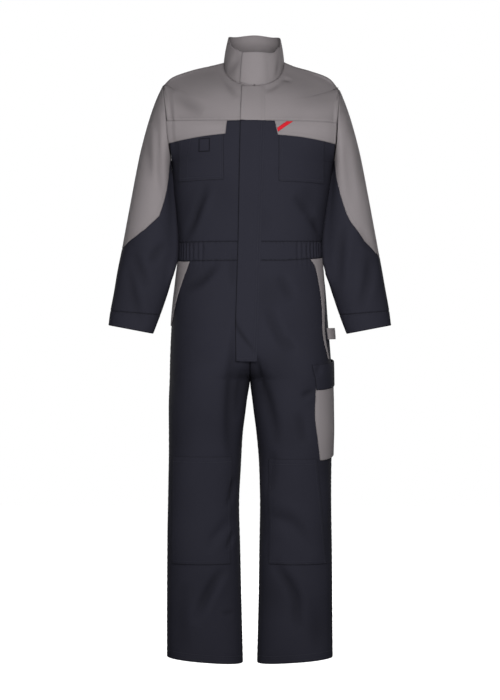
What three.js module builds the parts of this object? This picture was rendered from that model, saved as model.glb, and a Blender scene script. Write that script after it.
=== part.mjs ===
// A long-sleeved boiler suit in two colours, in its worn form with nobody in it.
// Millimetres. +X is the wearer's left, -Y the front, +Z up. The origin is inside the neck, level with
// the points where the shoulder seams meet the collar. Every panel is a hollow wall of cloth between
// seams; right and left are the wearer's.
import * as THREE from 'three';

// Driving sizes.
const CLOTH = 2.0;            // wall of a panel: twill with its turnings
const PATCH_CLOTH = 1.6;      // wall of a piece sewn on top
const SEAM_GAP = 0.3;         // between two panels sewn edge to edge
const LIFT = 0.95;            // from a panel to the piece that lies on it
const SIDES = { right: -1, left: 1 };
const FULL_ROUND = 360;

// Heights of the main seams, at the centre front.
const UNDERARM_Z = -262;
const WAISTBAND_TOP_Z = -470;
const WAISTBAND_BOTTOM_Z = -518;
const RISE_START_Z = -690;
const CROTCH_Z = -822;
const HEM_Z = -1549;
const HEM_SLANT = 7.5;        // the outer end of a hem is this much higher, the inner end lower
const RISE_POWER = 1.3;
const WAIST_LIFT = { right: 5, left: 14 };   // the waist seams ride up by this much at the sides
const WAIST_LIFT_REACH = 45;  // above and below the waistband's lower seam
const WAIST_LIFT_FROM = 0.625;   // share of the way from the centre to the side where it starts

const NAVY = { color: 0x23262f, roughness: 0.86, metalness: 0 };
const GREY = { color: 0x857f82, roughness: 0.84, metalness: 0 };
const RED = { color: 0xb3202a, roughness: 0.6, metalness: 0 };

// Half sections of trunk and legs: where the centre line and the two side seams run, how far the front
// and back stand out, and how square the section is.
const BODY = [
  { z: -262, centre: 7, right: -203, left: 217, front: 133, back: 125, square: 2.30 },
  { z: -330, centre: 5, right: -199, left: 208, front: 130, back: 118, square: 2.35 },
  { z: -400, centre: 2, right: -192, left: 197, front: 123, back: 108, square: 2.40 },
  { z: -470, centre: 0, right: -187, left: 188, front: 118, back: 104, square: 2.40 },
  { z: -518, centre: 0, right: -188, left: 189, front: 120, back: 110, square: 2.40 },
  { z: -564, centre: 0, right: -192, left: 193, front: 126, back: 123, square: 2.40 },
  { z: -616, centre: 0, right: -198, left: 198, front: 131, back: 134, square: 2.40 },
  { z: -668, centre: 0, right: -203, left: 202, front: 134, back: 140, square: 2.35 },
  { z: -720, centre: 0, right: -206, left: 206, front: 135, back: 142, square: 2.30 },
  { z: -772, centre: 0, right: -208, left: 209, front: 133, back: 138, square: 2.25 },
  { z: -822, centre: 0, right: -209, left: 211, front: 127, back: 129, square: 2.20 },
  { z: -876, centre: 0, right: -211, left: 213, front: 118, back: 117, square: 2.20 },
  { z: -954, centre: 0, right: -211, left: 213, front: 106, back: 105, square: 2.20 },
  { z: -1032, centre: 0, right: -211, left: 212, front: 95, back: 95, square: 2.20 },
  { z: -1136, centre: 0, right: -213, left: 211, front: 84, back: 86, square: 2.20 },
  { z: -1266, centre: 0, right: -215, left: 213, front: 77, back: 80, square: 2.20 },
  { z: -1396, centre: 0, right: -216, left: 214, front: 72, back: 77, square: 2.20 },
  { z: -1549, centre: 0, right: -216, left: 215, front: 69, back: 74, square: 2.20 },
];

// Inner line of each leg, from a little above the crotch to the hem.
const INNER_LEG = [
  { z: -772, right: 0, left: 0 },
  { z: -822, right: 0, left: 0 },
  { z: -876, right: -8, left: 6 },
  { z: -954, right: -18, left: 16 },
  { z: -1032, right: -23, left: 23 },
  { z: -1136, right: -28, left: 26 },
  { z: -1266, right: -25, left: 24 },
  { z: -1396, right: -22, left: 22 },
  { z: -1549, right: -18, left: 18 },
];

// Rows of the chest and back above the underarm. A row runs from the centre to its edge point: on the
// armhole (hole: angle round it, 180 at the underarm and 0 at the shoulder), then along the shoulder
// seam. turn is the angle that the row turns through on its way to the edge.
const CHEST = [
  { hole: 180, centre: 7.0, frontZ: -262, frontY: -133, backZ: -262, backY: 125, turn: 90, square: 2.30 },
  { hole: 148, centre: 7.5, frontZ: -230, frontY: -133, backZ: -226, backY: 127, turn: 74, square: 2.25 },
  { hole: 116, centre: 8.0, frontZ: -194, frontY: -131, backZ: -188, backY: 128, turn: 58, square: 2.20 },
  { hole: 90, centre: 8.5, frontZ: -164, frontY: -127, backZ: -150, backY: 126, turn: 50, square: 2.15 },
  { hole: 46, centre: 9.0, frontZ: -134, frontY: -119, backZ: -104, backY: 120, turn: 48, square: 2.10 },
  { hole: 0, centre: 9.5, frontZ: -112, frontY: -110, backZ: -66, backY: 112, turn: 56, square: 2.05 },
  { hole: 0, centre: 10.0, frontZ: -99, frontY: -103, backZ: -46, backY: 106, turn: 62, square: 2.00 },
  { hole: 0, centre: 10.2, frontZ: -87, frontY: -96, backZ: -25, backY: 97, turn: 70, square: 2.00 },
  { hole: 0, centre: 10.4, frontZ: -77, frontY: -90, backZ: -8, backY: 88, turn: 80, square: 2.00 },
  { hole: 0, centre: 10.5, frontZ: -69, frontY: -85, backZ: 8, backY: 79, turn: 90, square: 2.00 },
];
const YOKE_ROW = 3;           // the yoke seam is the row at this place in CHEST
const SHOULDER_ROW = 5;       // from here on the rows end on the shoulder seam
const NECK_ROW = 9;

// Shoulder seam from the armhole to the neck.
const SHOULDER = {
  right: [
    { x: -225, y: 3, z: -57 }, { x: -200, y: 5, z: -35 }, { x: -150, y: 8, z: -17 },
    { x: -108, y: 10, z: -7 }, { x: -68.5, y: 11, z: 3 },
  ],
  left: [
    { x: 232, y: 3, z: -69 }, { x: 205, y: 5, z: -38 }, { x: 157, y: 8, z: -19 },
    { x: 120, y: 10, z: -8 }, { x: 89, y: 11, z: 4 },
  ],
};

// Sleeve from the armhole (first row) to the cuff: outer and inner line, how far it stands out to the
// front and back of its own centre, and that centre's place front to back. Where the trunk is wider than
// inner, the sleeve hangs against its side.
const SLEEVE = [
  { outer: 225, outerZ: -57, inner: 130, innerZ: -262, front: 80, back: 76, middle: 3 },
  { outer: 241, outerZ: -90, inner: 130, innerZ: -273, front: 79, back: 76, middle: 3 },
  { outer: 256, outerZ: -130, inner: 130, innerZ: -290, front: 76, back: 74, middle: 2 },
  { outer: 271, outerZ: -180, inner: 130, innerZ: -318, front: 73, back: 72, middle: 1 },
  { outer: 285, outerZ: -235, inner: 130, innerZ: -352, front: 70, back: 69, middle: -1 },
  { outer: 297, outerZ: -295, inner: 144, innerZ: -390, front: 67, back: 66, middle: -4 },
  { outer: 308, outerZ: -355, inner: 158, innerZ: -430, front: 65, back: 64, middle: -7 },
  { outer: 319, outerZ: -415, inner: 172, innerZ: -470, front: 63, back: 61, middle: -11 },
  { outer: 330, outerZ: -475, inner: 187, innerZ: -512, front: 60, back: 58, middle: -15 },
  { outer: 341, outerZ: -535, inner: 200, innerZ: -556, front: 56, back: 54, middle: -20 },
  { outer: 351, outerZ: -595, inner: 214, innerZ: -606, front: 51, back: 49, middle: -26 },
  { outer: 360, outerZ: -645, inner: 230, innerZ: -656, front: 45, back: 43, middle: -31 },
  { outer: 365, outerZ: -682, inner: 250, innerZ: -704, front: 39, back: 37, middle: -35 },
];
const CUFF_ROW = 11;          // the cuff is sewn on here
const SLEEVE_END = 12;
const SLEEVE_CLEAR = 1.3;     // between a hanging sleeve and the trunk
const SLEEVE_SEAM = 0.4;      // between the armhole and the sleeve

// Seam between the grey upper sleeve and the dark lower one: at each row of the sleeve, the angle from
// the outer line to the seam.
const SLEEVE_SPLIT = {
  right: [
    { row: 0, angle: 153 }, { row: 1, angle: 150 }, { row: 2, angle: 144 }, { row: 3, angle: 139 },
    { row: 4, angle: 130 }, { row: 5, angle: 118 }, { row: 6, angle: 106 }, { row: 6.5, angle: 92 },
    { row: 7, angle: 77 },
    { row: 7.5, angle: 56 }, { row: 8, angle: 26 }, { row: 8.12, angle: 9 },
  ],
  left: [
    { row: 0, angle: 153 }, { row: 1, angle: 148 }, { row: 2, angle: 141 }, { row: 3, angle: 132 },
    { row: 4, angle: 120 }, { row: 5, angle: 107 }, { row: 6, angle: 94 }, { row: 6.6, angle: 84 },
    { row: 7, angle: 74 },
    { row: 7.7, angle: 56 }, { row: 8.3, angle: 30 }, { row: 8.5, angle: 9 },
  ],
};

// Collar: its half width and its depth, and the height of its top edge at angles round the neck (0 the
// centre front, under 0 the right side).
const COLLAR = { centre: 12, half: 68, frontY: -88, backY: 54, crown: 1.5 };
const COLLAR_TOP = [
  { angle: -180, height: 81 }, { angle: -135, height: 73 }, { angle: -90, height: 63 },
  { angle: -63, height: 37 }, { angle: -42, height: 24 }, { angle: -26, height: 16.5 },
  { angle: 0, height: 15 }, { angle: 44, height: 16.5 }, { angle: 63, height: 31 },
  { angle: 84, height: 44 }, { angle: 100, height: 63 }, { angle: 140, height: 73 },
  { angle: 180, height: 81 },
];

// The largest folds of the worn cloth. Each is a soft trough (or ridge, where depth is negative) along
// a straight line on the front or back: ends, half width and depth.
const FOLDS = [
  { face: 'front', x1: -121, z1: -338, x2: -172, z2: -452, reach: 17, depth: 6 },
  { face: 'front', x1: 128, z1: -352, x2: 182, z2: -436, reach: 17, depth: 6 },
  { face: 'front', x1: -78, z1: -535, x2: -158, z2: -590, reach: 16, depth: 5 },
  { face: 'front', x1: 48, z1: -650, x2: 96, z2: -742, reach: 17, depth: 5 },
  { face: 'front', x1: -46, z1: -800, x2: -62, z2: -990, reach: 18, depth: 7 },
  { face: 'front', x1: 30, z1: -800, x2: 70, z2: -990, reach: 18, depth: 7 },
  { face: 'front', x1: -64, z1: -1318, x2: -130, z2: -1420, reach: 18, depth: 7 },
  { face: 'front', x1: 78, z1: -1306, x2: 124, z2: -1400, reach: 18, depth: 7 },
  { face: 'front', x1: 304, z1: -520, x2: 276, z2: -610, reach: 14, depth: 5 },
  { face: 'front', x1: -300, z1: -505, x2: -262, z2: -590, reach: 14, depth: 5 },
  { face: 'back', x1: -150, z1: -380, x2: -60, z2: -440, reach: 18, depth: 6 },
  { face: 'back', x1: 160, z1: -370, x2: 66, z2: -436, reach: 18, depth: 6 },
  { face: 'back', x1: -60, z1: -760, x2: -150, z2: -800, reach: 18, depth: 7 },
  { face: 'back', x1: 62, z1: -764, x2: 154, z2: -806, reach: 18, depth: 7 },
  { face: 'back', x1: -80, z1: -1130, x2: -170, z2: -1160, reach: 18, depth: 7 },
  { face: 'back', x1: 84, z1: -1126, x2: 172, z2: -1164, reach: 18, depth: 7 },
  { face: 'back', x1: -222, z1: -520, x2: -310, z2: -560, reach: 15, depth: 5 },
  { face: 'back', x1: 224, z1: -526, x2: 312, z2: -564, reach: 15, depth: 5 },
];

// Pieces sewn flat on the fronts: for each vertical line from one end to the other, its top and bottom.
const CHEST_FLAP = {
  right: [
    { topX: -58, topZ: -163.6, bottomX: -62, bottomZ: -198 },
    { topX: -124, topZ: -162.4, bottomX: -126, bottomZ: -204 },
    { topX: -203, topZ: -160.2, bottomX: -201, bottomZ: -214 },
  ],
  left: [
    { topX: 62, topZ: -163.7, bottomX: 70, bottomZ: -201 },
    { topX: 126, topZ: -164.0, bottomX: 128, bottomZ: -205 },
    { topX: 216, topZ: -165.0, bottomX: 212, bottomZ: -217 },
  ],
};
const CHEST_POCKET = {
  right: [
    { topX: -67, topZ: -184, bottomX: -66, bottomZ: -314 },
    { topX: -182, topZ: -190, bottomX: -181, bottomZ: -316 },
  ],
  left: [
    { topX: 73, topZ: -186, bottomX: 72, bottomZ: -318 },
    { topX: 191, topZ: -192, bottomX: 190, bottomZ: -321 },
  ],
};
const PEN_LOOP = [
  { topX: -101, topZ: -208, bottomX: -101, bottomZ: -242 },
  { topX: -128, topZ: -209, bottomX: -128, bottomZ: -242 },
];
const LABEL_TAB = [
  { topX: 93, topZ: -166, bottomX: 68, bottomZ: -184 },
  { topX: 109, topZ: -166, bottomX: 70, bottomZ: -194 },
];
const KNEE_POCKET = {
  right: [
    { topX: -47, topZ: -1018, bottomX: -50, bottomZ: -1296 },
    { topX: -198, topZ: -1018, bottomX: -201, bottomZ: -1296 },
  ],
  left: [
    { topX: 47, topZ: -1024, bottomX: 50, bottomZ: -1296 },
    { topX: 172, topZ: -1024, bottomX: 197, bottomZ: -1296 },
  ],
};
const POCKET_LIFT = 2 * LIFT + PATCH_CLOTH;          // a flap or loop that lies on a pocket
const FLAP_RISE = 0.4;        // share of a flap in which it climbs onto its pocket
const TAB_LIFT = POCKET_LIFT + PATCH_CLOTH + 0.65;   // the tab on the flap

// The fly placket: its free (right) and sewn (left) edge at each height.
const PLACKET = [
  { z: -72, free: -21, sewn: 39 },
  { z: -164, free: -25, sewn: 38 },
  { z: -470, free: -31, sewn: 28 },
  { z: -690, free: -37, sewn: 21 },
  { z: -775, free: -36, sewn: 17 },
];
const PLACKET_LIFT = 1.0;
const COLLAR_FLY = { free: -27, sewn: 29 };   // degrees round the collar
const COLLAR_FLY_FOOT = 0.03; // share of the collar's height where it starts, over the neck seam

// Pieces on the side of a leg: at each height, the angles round the leg (0 front, 90 side seam).
const FACING = {
  right: [
    { z: -520, from: 51, to: 80 }, { z: -569, from: 61, to: 86 }, { z: -612, from: 68, to: 88 },
    { z: -655, from: 75, to: 88 }, { z: -684, from: 82, to: 88 },
  ],
  left: [
    { z: -520, from: 51, to: 80 }, { z: -540, from: 58, to: 79 }, { z: -603, from: 63, to: 73 },
    { z: -664, from: 64, to: 69 }, { z: -727, from: 62, to: 66.5 }, { z: -770, from: 66, to: 69 },
  ],
};
const THIGH_POCKET = [
  { z: -838, from: 34, to: 121 }, { z: -880, from: 31, to: 121 }, { z: -924, from: 29.5, to: 121 },
  { z: -980, from: 34, to: 122 }, { z: -1030, from: 40, to: 122 },
];
const THIGH_FLAP = [
  { z: -784, from: 32, to: 119 }, { z: -815, from: 32, to: 120 }, { z: -848, from: 33, to: 121 },
];
const THIGH_EDGE_LIFT = 0.6;
const THIGH_BULGE = 3.4;      // the bellows stand this much further out at their middle
const THIGH_TILT = 16;        // its edges rise this much from front to side seam
const HAMMER_LOOP = { from: 74, to: 112 };
const LOOP_LINES = [{ z: -690, ...HAMMER_LOOP }, { z: -719, ...HAMMER_LOOP }];
const LOOP_STAND = 15;
const LOOP_FULLNESS = 0.7;    // under 1: the arch is fuller than a half wave

// Smooth value of one column of a table at any place between its rows (cubic, through every row).
function column(table, name, key) {
  const knots = table.map((row, index) => (key ? row[key] : index));
  const values = table.map((row) => row[name]);
  const last = knots.length - 1;
  const rising = knots[last] > knots[0];
  const slope = (i) => {
    const before = Math.max(i - 1, 0);
    const after = Math.min(i + 1, last);
    return (values[after] - values[before]) / (knots[after] - knots[before]);
  };
  return (place) => {
    let i = 0;
    while (i < last - 1 && (rising ? place > knots[i + 1] : place < knots[i + 1])) i += 1;
    const span = knots[i + 1] - knots[i];
    const t = Math.min(Math.max((place - knots[i]) / span, 0), 1);
    const s = 1 - t;
    return values[i] * s * s * (1 + 2 * t) + values[i + 1] * t * t * (3 - 2 * t)
      + span * t * s * (slope(i) * s - slope(i + 1) * t);
  };
}

function columns(table, key) {
  const names = Object.keys(table[0]).filter((name) => name !== key);
  return Object.fromEntries(names.map((name) => [name, column(table, name, key)]));
}

const body = columns(BODY, 'z');
const innerLeg = columns(INNER_LEG, 'z');
const chest = columns(CHEST);
const sleeve = columns(SLEEVE);
const radians = (degrees) => THREE.MathUtils.degToRad(degrees);
const mix = THREE.MathUtils.lerp;
const clamp01 = (value) => Math.min(Math.max(value, 0), 1);
const smooth = (value) => THREE.MathUtils.smoothstep(value, 0, 1);
const point = (x, y, z) => new THREE.Vector3(x, y, z);

// How deep the folds press into the cloth at a place, on the face that it belongs to.
function foldDepth(place) {
  const face = place.y < 0 ? 'front' : 'back';
  let depth = 0;
  for (const fold of FOLDS) {
    if (fold.face !== face) continue;
    const dx = fold.x2 - fold.x1;
    const dz = fold.z2 - fold.z1;
    const length = Math.hypot(dx, dz);
    const along = ((place.x - fold.x1) * dx + (place.z - fold.z1) * dz) / (length * length);
    if (along <= 0 || along >= 1) continue;
    const across = ((place.x - fold.x1) * dz - (place.z - fold.z1) * dx) / length;
    depth += fold.depth * Math.sin(Math.PI * along) ** 2 * Math.exp(-((across / fold.reach) ** 2));
  }
  return depth;
}

// Trunk and leg section. angle 0 is straight to the front of the leg's own centre, 90 the side seam.
// Above the crotch each half section starts at the centre seam; share is 0 there and 1 at the side.
function halfSection(side, z) {
  const centreX = body.centre(z);
  const outer = body[side](z);
  const rise = clamp01((RISE_START_Z - z) / (RISE_START_Z - CROTCH_Z)) ** RISE_POWER;
  if (z < CROTCH_Z) {
    const inner = innerLeg[side](z);
    return { middle: (outer + inner) / 2, half: (outer - inner) / 2, rise: 1, start: -90 };
  }
  const width = outer - centreX;
  const half = width / (1 + rise);
  const start = -Math.asin(rise ** (body.square(z) / 2));
  return { middle: centreX + rise * half, half, rise, start: THREE.MathUtils.radToDeg(start) };
}

function bodyAtAngle(side, face, angle, z) {
  const section = halfSection(side, z);
  const power = 2 / body.square(z);
  const sine = Math.sin(radians(angle));
  const cosine = Math.max(Math.cos(radians(angle)), 0);
  const x = section.middle + section.half * Math.sign(sine) * Math.abs(sine) ** power;
  const y = (face === 'front' ? -body.front(z) : body.back(z)) * cosine ** power;
  const hemShare = smooth((CROTCH_Z - z) / (CROTCH_Z - HEM_Z));
  const slant = hemShare * HEM_SLANT * (x - section.middle) / section.half;
  const near = Math.exp(-(((z - WAISTBAND_BOTTOM_Z) / WAIST_LIFT_REACH) ** 2));
  const lifted = WAIST_LIFT[side] * near * clamp01((angle / 90 - WAIST_LIFT_FROM) / (1 - WAIST_LIFT_FROM));
  return point(x, y, z + slant + lifted);
}

// Any angle round the side seam of a leg: past 90 the point is on the back.
function legAtAngle(side, angle, z) {
  const face = angle <= 90 ? 'front' : 'back';
  return bodyAtAngle(side, face, angle <= 90 ? angle : 180 - angle, z);
}

function bodyAtShare(side, face, share, z) {
  return bodyAtAngle(side, face, mix(halfSection(side, z).start, 90, share), z);
}

// Armhole: an oval in a nearly upright plane. angle 0 is at the shoulder, 90 at the front.
function sleeveAt(side, angle, row) {
  const sign = SIDES[side];
  const tip = SHOULDER[side][0];
  const near = clamp01(1 - row);
  const outerX = mix(sleeve.outer(row), Math.abs(tip.x), near);
  const outerZ = mix(sleeve.outerZ(row), tip.z, near);
  const innerZ = sleeve.innerZ(row);
  const trunk = Math.abs(body[side](innerZ)) + SLEEVE_CLEAR * clamp01(row);
  const innerX = Math.max(sleeve.inner(row), trunk);
  const cosine = Math.cos(radians(angle));
  const sine = Math.sin(radians(angle));
  const x = (outerX + innerX) / 2 + (outerX - innerX) / 2 * cosine;
  const z = (outerZ + innerZ) / 2 + (outerZ - innerZ) / 2 * cosine;
  const depth = sine > 0 ? sleeve.front(row) : sleeve.back(row);
  return point(sign * x, sleeve.middle(row) - depth * sine, z);
}

const HOLE_CENTRE = {
  right: sleeveAt('right', 0, 0).add(sleeveAt('right', 180, 0)).multiplyScalar(0.5),
  left: sleeveAt('left', 0, 0).add(sleeveAt('left', 180, 0)).multiplyScalar(0.5),
};

// The edge point of a chest row, on the armhole or on the shoulder seam.
function chestEdge(side, face, row) {
  if (row <= SHOULDER_ROW) {
    const angle = column(CHEST.slice(0, SHOULDER_ROW + 1), 'hole')(row);
    return sleeveAt(side, face === 'front' ? angle : -angle, 0);
  }
  const seam = SHOULDER[side];
  const at = row - SHOULDER_ROW;
  return point(column(seam, 'x')(at), column(seam, 'y')(at), column(seam, 'z')(at));
}

// A chest row: reach is the share of the way across from the centre line to the edge point.
function chestAtReach(side, face, reach, row) {
  const edge = chestEdge(side, face, row);
  const turn = radians(chest.turn(row));
  const power = 2 / chest.square(row);
  const centre = point(chest.centre(row), chest[`${face}Y`](row), chest[`${face}Z`](row));
  const angle = Math.asin((reach * Math.sin(turn) ** power) ** (1 / power));
  const deep = (1 - Math.cos(angle) ** power) / (1 - Math.cos(turn) ** power);
  return point(
    mix(centre.x, edge.x, reach),
    mix(centre.y, edge.y, deep),
    mix(centre.z, edge.z, (angle / turn) ** 2),
  );
}

function chestAtShare(side, face, share, row) {
  const turn = radians(chest.turn(row));
  const power = 2 / chest.square(row);
  return chestAtReach(side, face, (Math.sin(share * turn) / Math.sin(turn)) ** power, row);
}

// The whole front as a height map, for what is sewn on it: depth y at a place x, z. Bridged is the trunk's
// own section, which goes straight across the rise.
const HALVINGS = 24;          // of the search for the chest row at a height
function frontY(x, z, bridged = false) {
  if (z <= UNDERARM_Z) {
    const side = x < body.centre(z) ? 'right' : 'left';
    const outer = body[side](z);
    const section = bridged
      ? { middle: body.centre(z), half: outer - body.centre(z) }
      : halfSection(side, z);
    const reach = Math.min(Math.abs((x - section.middle) / section.half), 1);
    const square = body.square(z);
    return -body.front(z) * (1 - reach ** square) ** (1 / square);
  }
  const side = x < CHEST[YOKE_ROW].centre ? 'right' : 'left';
  let low = 0;
  let high = NECK_ROW;
  let found = null;
  for (let step = 0; step < HALVINGS; step += 1) {
    const row = (low + high) / 2;
    const centreX = chest.centre(row);
    const reach = clamp01((x - centreX) / (chestEdge(side, 'front', row).x - centreX));
    found = chestAtReach(side, 'front', reach, row);
    if (found.z < z) low = row;
    else high = row;
  }
  return found.y;
}

function pressed(place, normal) {
  return place.clone().addScaledVector(normal, -foldDepth(place));
}

// Outward normal of a surface given by two parameters, from small steps along both. trunk is the point
// that the surface faces away from.
function normalAt(surface, a, b, stepA, stepB, away) {
  const alongA = surface(a + stepA, b).sub(surface(a - stepA, b));
  const alongB = surface(a, b + stepB).sub(surface(a, b - stepB));
  const normal = alongA.cross(alongB).normalize();
  return normal.dot(away) < 0 ? normal.negate() : normal;
}

// Pull the border of a grid back from the seam, square to it, by half the seam gap.
function trimSeams(grid, closed) {
  const last = grid.length - 1;
  const end = grid[0].length - 1;
  const trimLine = (line, next) => {
    const moves = line.map((vertex, k) => {
      const along = line[Math.min(k + 1, line.length - 1)].clone().sub(line[Math.max(k - 1, 0)]).normalize();
      const into = next[k].clone().sub(vertex);
      return into.addScaledVector(along, -into.dot(along)).setLength(SEAM_GAP / 2);
    });
    line.forEach((vertex, k) => vertex.add(moves[k]));
  };
  trimLine(grid[0], grid[1]);
  trimLine(grid[last], grid[last - 1]);
  if (closed) return;
  trimLine(grid.map((row) => row[0]), grid.map((row) => row[1]));
  trimLine(grid.map((row) => row[end]), grid.map((row) => row[end - 1]));
}

// Closed wall of cloth from an outer and an inner grid of points, with its rims.
function wallGeometry(outer, inner, closed) {
  const rows = outer.length;
  const across = outer[0].length;
  const positions = [];
  for (const grid of [outer, inner]) {
    for (const row of grid) {
      for (const vertex of row) positions.push(vertex.x, vertex.y, vertex.z);
    }
  }
  const offset = rows * across;
  const at = (i, j, layer) => layer * offset + i * across + (j % across);
  const faces = [];
  const quad = (a, b, c, d) => faces.push(a, b, c, a, c, d);
  const spans = closed ? across : across - 1;
  for (let i = 0; i < rows - 1; i += 1) {
    for (let j = 0; j < spans; j += 1) {
      quad(at(i, j, 0), at(i, j + 1, 0), at(i + 1, j + 1, 0), at(i + 1, j, 0));
      quad(at(i, j, 1), at(i + 1, j, 1), at(i + 1, j + 1, 1), at(i, j + 1, 1));
    }
    if (!closed) {
      quad(at(i + 1, 0, 0), at(i + 1, 0, 1), at(i, 0, 1), at(i, 0, 0));
      quad(at(i, spans, 0), at(i, spans, 1), at(i + 1, spans, 1), at(i + 1, spans, 0));
    }
  }
  for (let j = 0; j < spans; j += 1) {
    quad(at(0, j + 1, 0), at(0, j, 0), at(0, j, 1), at(0, j + 1, 1));
    quad(at(rows - 1, j, 0), at(rows - 1, j + 1, 0), at(rows - 1, j + 1, 1), at(rows - 1, j, 1));
  }
  const geometry = new THREE.BufferGeometry();
  geometry.setAttribute('position', new THREE.Float32BufferAttribute(positions, 3));
  geometry.setIndex(signedVolume(positions, faces) < 0 ? faces.slice().reverse() : faces);
  geometry.computeVertexNormals();
  return geometry;
}

function signedVolume(positions, faces) {
  const vertex = (index) => point(...positions.slice(3 * index, 3 * index + 3));
  let volume = 0;
  for (let f = 0; f < faces.length; f += 3) {
    volume += vertex(faces[f]).dot(vertex(faces[f + 1]).cross(vertex(faces[f + 2]))) / 6;
  }
  return volume;
}

// A sewn panel. rows and shares are the parameters of its grid, place(share, row) its surface, inward
// the way its thickness goes at each point.
function panel(rows, shares, place, inward, closed = false) {
  const outer = [];
  const inner = [];
  for (const row of rows) {
    const ways = shares.map((share) => inward(share, row));
    const line = shares.map((share, j) => pressed(place(share, row), ways[j].clone().negate()));
    outer.push(line);
    inner.push(line.map((vertex, j) => vertex.clone().addScaledVector(ways[j], CLOTH)));
  }
  trimSeams(outer, closed);
  trimSeams(inner, closed);
  return wallGeometry(outer, inner, closed);
}

const steps = (from, to, count) => Array.from({ length: count + 1 }, (_, i) => mix(from, to, i / count));

const suit = new THREE.Group();
function add(name, geometry, finish) {
  const mesh = new THREE.Mesh(geometry, new THREE.MeshStandardMaterial({ ...finish, side: THREE.FrontSide }));
  mesh.name = name;
  suit.add(mesh);
}

// Steps for the normals, and how near an edge they are still taken.
const ANGLE_STEP = 0.5;
const HEIGHT_STEP = 1.0;
const ROW_STEP = 0.02;
const SHARE_STEP = 0.005;
const BODY_EDGE = 0.001;
const CHEST_EDGE = 0.01;
const CHEST_RISE = 0.4;       // the chest's outward way leans up by this much

function inwardBody(side, face) {
  return (share, z) => {
    const near = Math.min(Math.max(share, BODY_EDGE), 1 - BODY_EDGE);
    const angle = mix(halfSection(side, z).start, 90, near);
    const surface = (a, b) => bodyAtAngle(side, face, a, b);
    const place = surface(angle, z);
    const away = point(place.x - halfSection(side, z).middle, place.y, 0);
    const inner = Math.min(Math.max(z, HEM_Z + HEIGHT_STEP), UNDERARM_Z - HEIGHT_STEP);
    return normalAt(surface, angle, inner, ANGLE_STEP, HEIGHT_STEP, away).negate();
  };
}

function inwardChest(side, face) {
  return (share, row) => {
    if (share >= 1 && row <= SHOULDER_ROW) {
      return HOLE_CENTRE[side].clone().sub(chestEdge(side, face, row)).normalize();
    }
    const surface = (a, b) => chestAtShare(side, face, a, b);
    const a = Math.min(Math.max(share, CHEST_EDGE), 1 - CHEST_EDGE);
    const b = Math.min(Math.max(row, ROW_STEP), NECK_ROW - ROW_STEP);
    const away = point(0, face === 'front' ? -1 : 1, CHEST_RISE);
    const normal = normalAt(surface, a, b, SHARE_STEP, ROW_STEP, away).negate();
    if (share <= 0) normal.setX(0).normalize();
    if (share >= 1) normal.setY(0).normalize();
    return normal;
  };
}

// Fronts and back between the waistband and the yoke: rows below the underarm by height, then by row.
const LOWER_ROWS = steps(WAISTBAND_TOP_Z, UNDERARM_Z, 6).map((z) => ({ z }));
const UPPER_ROWS = [0.5, 1, 1.5, 2, 2.5, YOKE_ROW].map((row) => ({ row }));
const TRUNK_ROWS = [...LOWER_ROWS.slice(0, -1), { z: UNDERARM_Z, row: 0 }, ...UPPER_ROWS];
const YOKE_ROWS = [3, 3.5, 4, 4.5, 5, 6, 7, 8, NECK_ROW].map((row) => ({ row }));
const TRUNK_SHARES = steps(0, 1, 8);

function trunkPlace(side, face) {
  return (share, at) => (at.row === undefined
    ? bodyAtShare(side, face, share, at.z)
    : chestAtShare(side, face, share, at.row));
}

function trunkInward(side, face) {
  const low = inwardBody(side, face);
  const high = inwardChest(side, face);
  return (share, at) => (at.row === undefined ? low(share, at.z) : high(share, at.row));
}

// Back panels run right across: a negative share is the right half.
function acrossBack(make) {
  const halves = { right: make('right', 'back'), left: make('left', 'back') };
  return (share, at) => (share < 0 ? halves.right(-share, at) : halves.left(share, at));
}
const BACK_SHARES = [...TRUNK_SHARES.slice(1).reverse().map((share) => -share), ...TRUNK_SHARES];

for (const side of Object.keys(SIDES)) {
  const place = trunkPlace(side, 'front');
  const inward = trunkInward(side, 'front');
  add(`front_${side}`, panel(TRUNK_ROWS, TRUNK_SHARES, place, inward), NAVY);
  add(`front_yoke_${side}`, panel(YOKE_ROWS, TRUNK_SHARES, place, inward), GREY);
}
add('back', panel(TRUNK_ROWS, BACK_SHARES, acrossBack(trunkPlace), acrossBack(trunkInward)), NAVY);
add('back_yoke', panel(YOKE_ROWS, BACK_SHARES, acrossBack(trunkPlace), acrossBack(trunkInward)), GREY);

// Waistband. Elastic gathers it into upright waves, from a share of the way to the side seams on. It has
// one column on each crest and trough, and rows close to its seams, where the waves are low.
const GATHERS = { front: { from: 0.375, waves: 10 }, back: { from: 0, waves: 16 } };
const GATHER_DEPTH = 2.4;
const GATHER_SEAM = 0.3;      // part of the depth that is left at the seams
const BAND_SEAM = 6;          // from a seam to the row where the waves are full
const bandRow = (z, full) => ({ z, full });
const WAIST_ROWS = [
  bandRow(WAISTBAND_BOTTOM_Z, GATHER_SEAM), bandRow(WAISTBAND_BOTTOM_Z + BAND_SEAM, 1),
  bandRow(WAISTBAND_TOP_Z - BAND_SEAM, 1), bandRow(WAISTBAND_TOP_Z, GATHER_SEAM),
];
function gatheredShares(face) {
  const { from, waves } = GATHERS[face];
  return [...TRUNK_SHARES.filter((share) => share < from), ...steps(from, 1, 2 * waves)];
}

function gatherDepth(face, share, at) {
  const { from, waves } = GATHERS[face];
  const turn = Math.PI * waves * (Math.abs(share) - from) / (1 - from);
  return Math.abs(share) < from ? 0 : GATHER_DEPTH * at.full * Math.sin(turn) ** 2;
}

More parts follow.
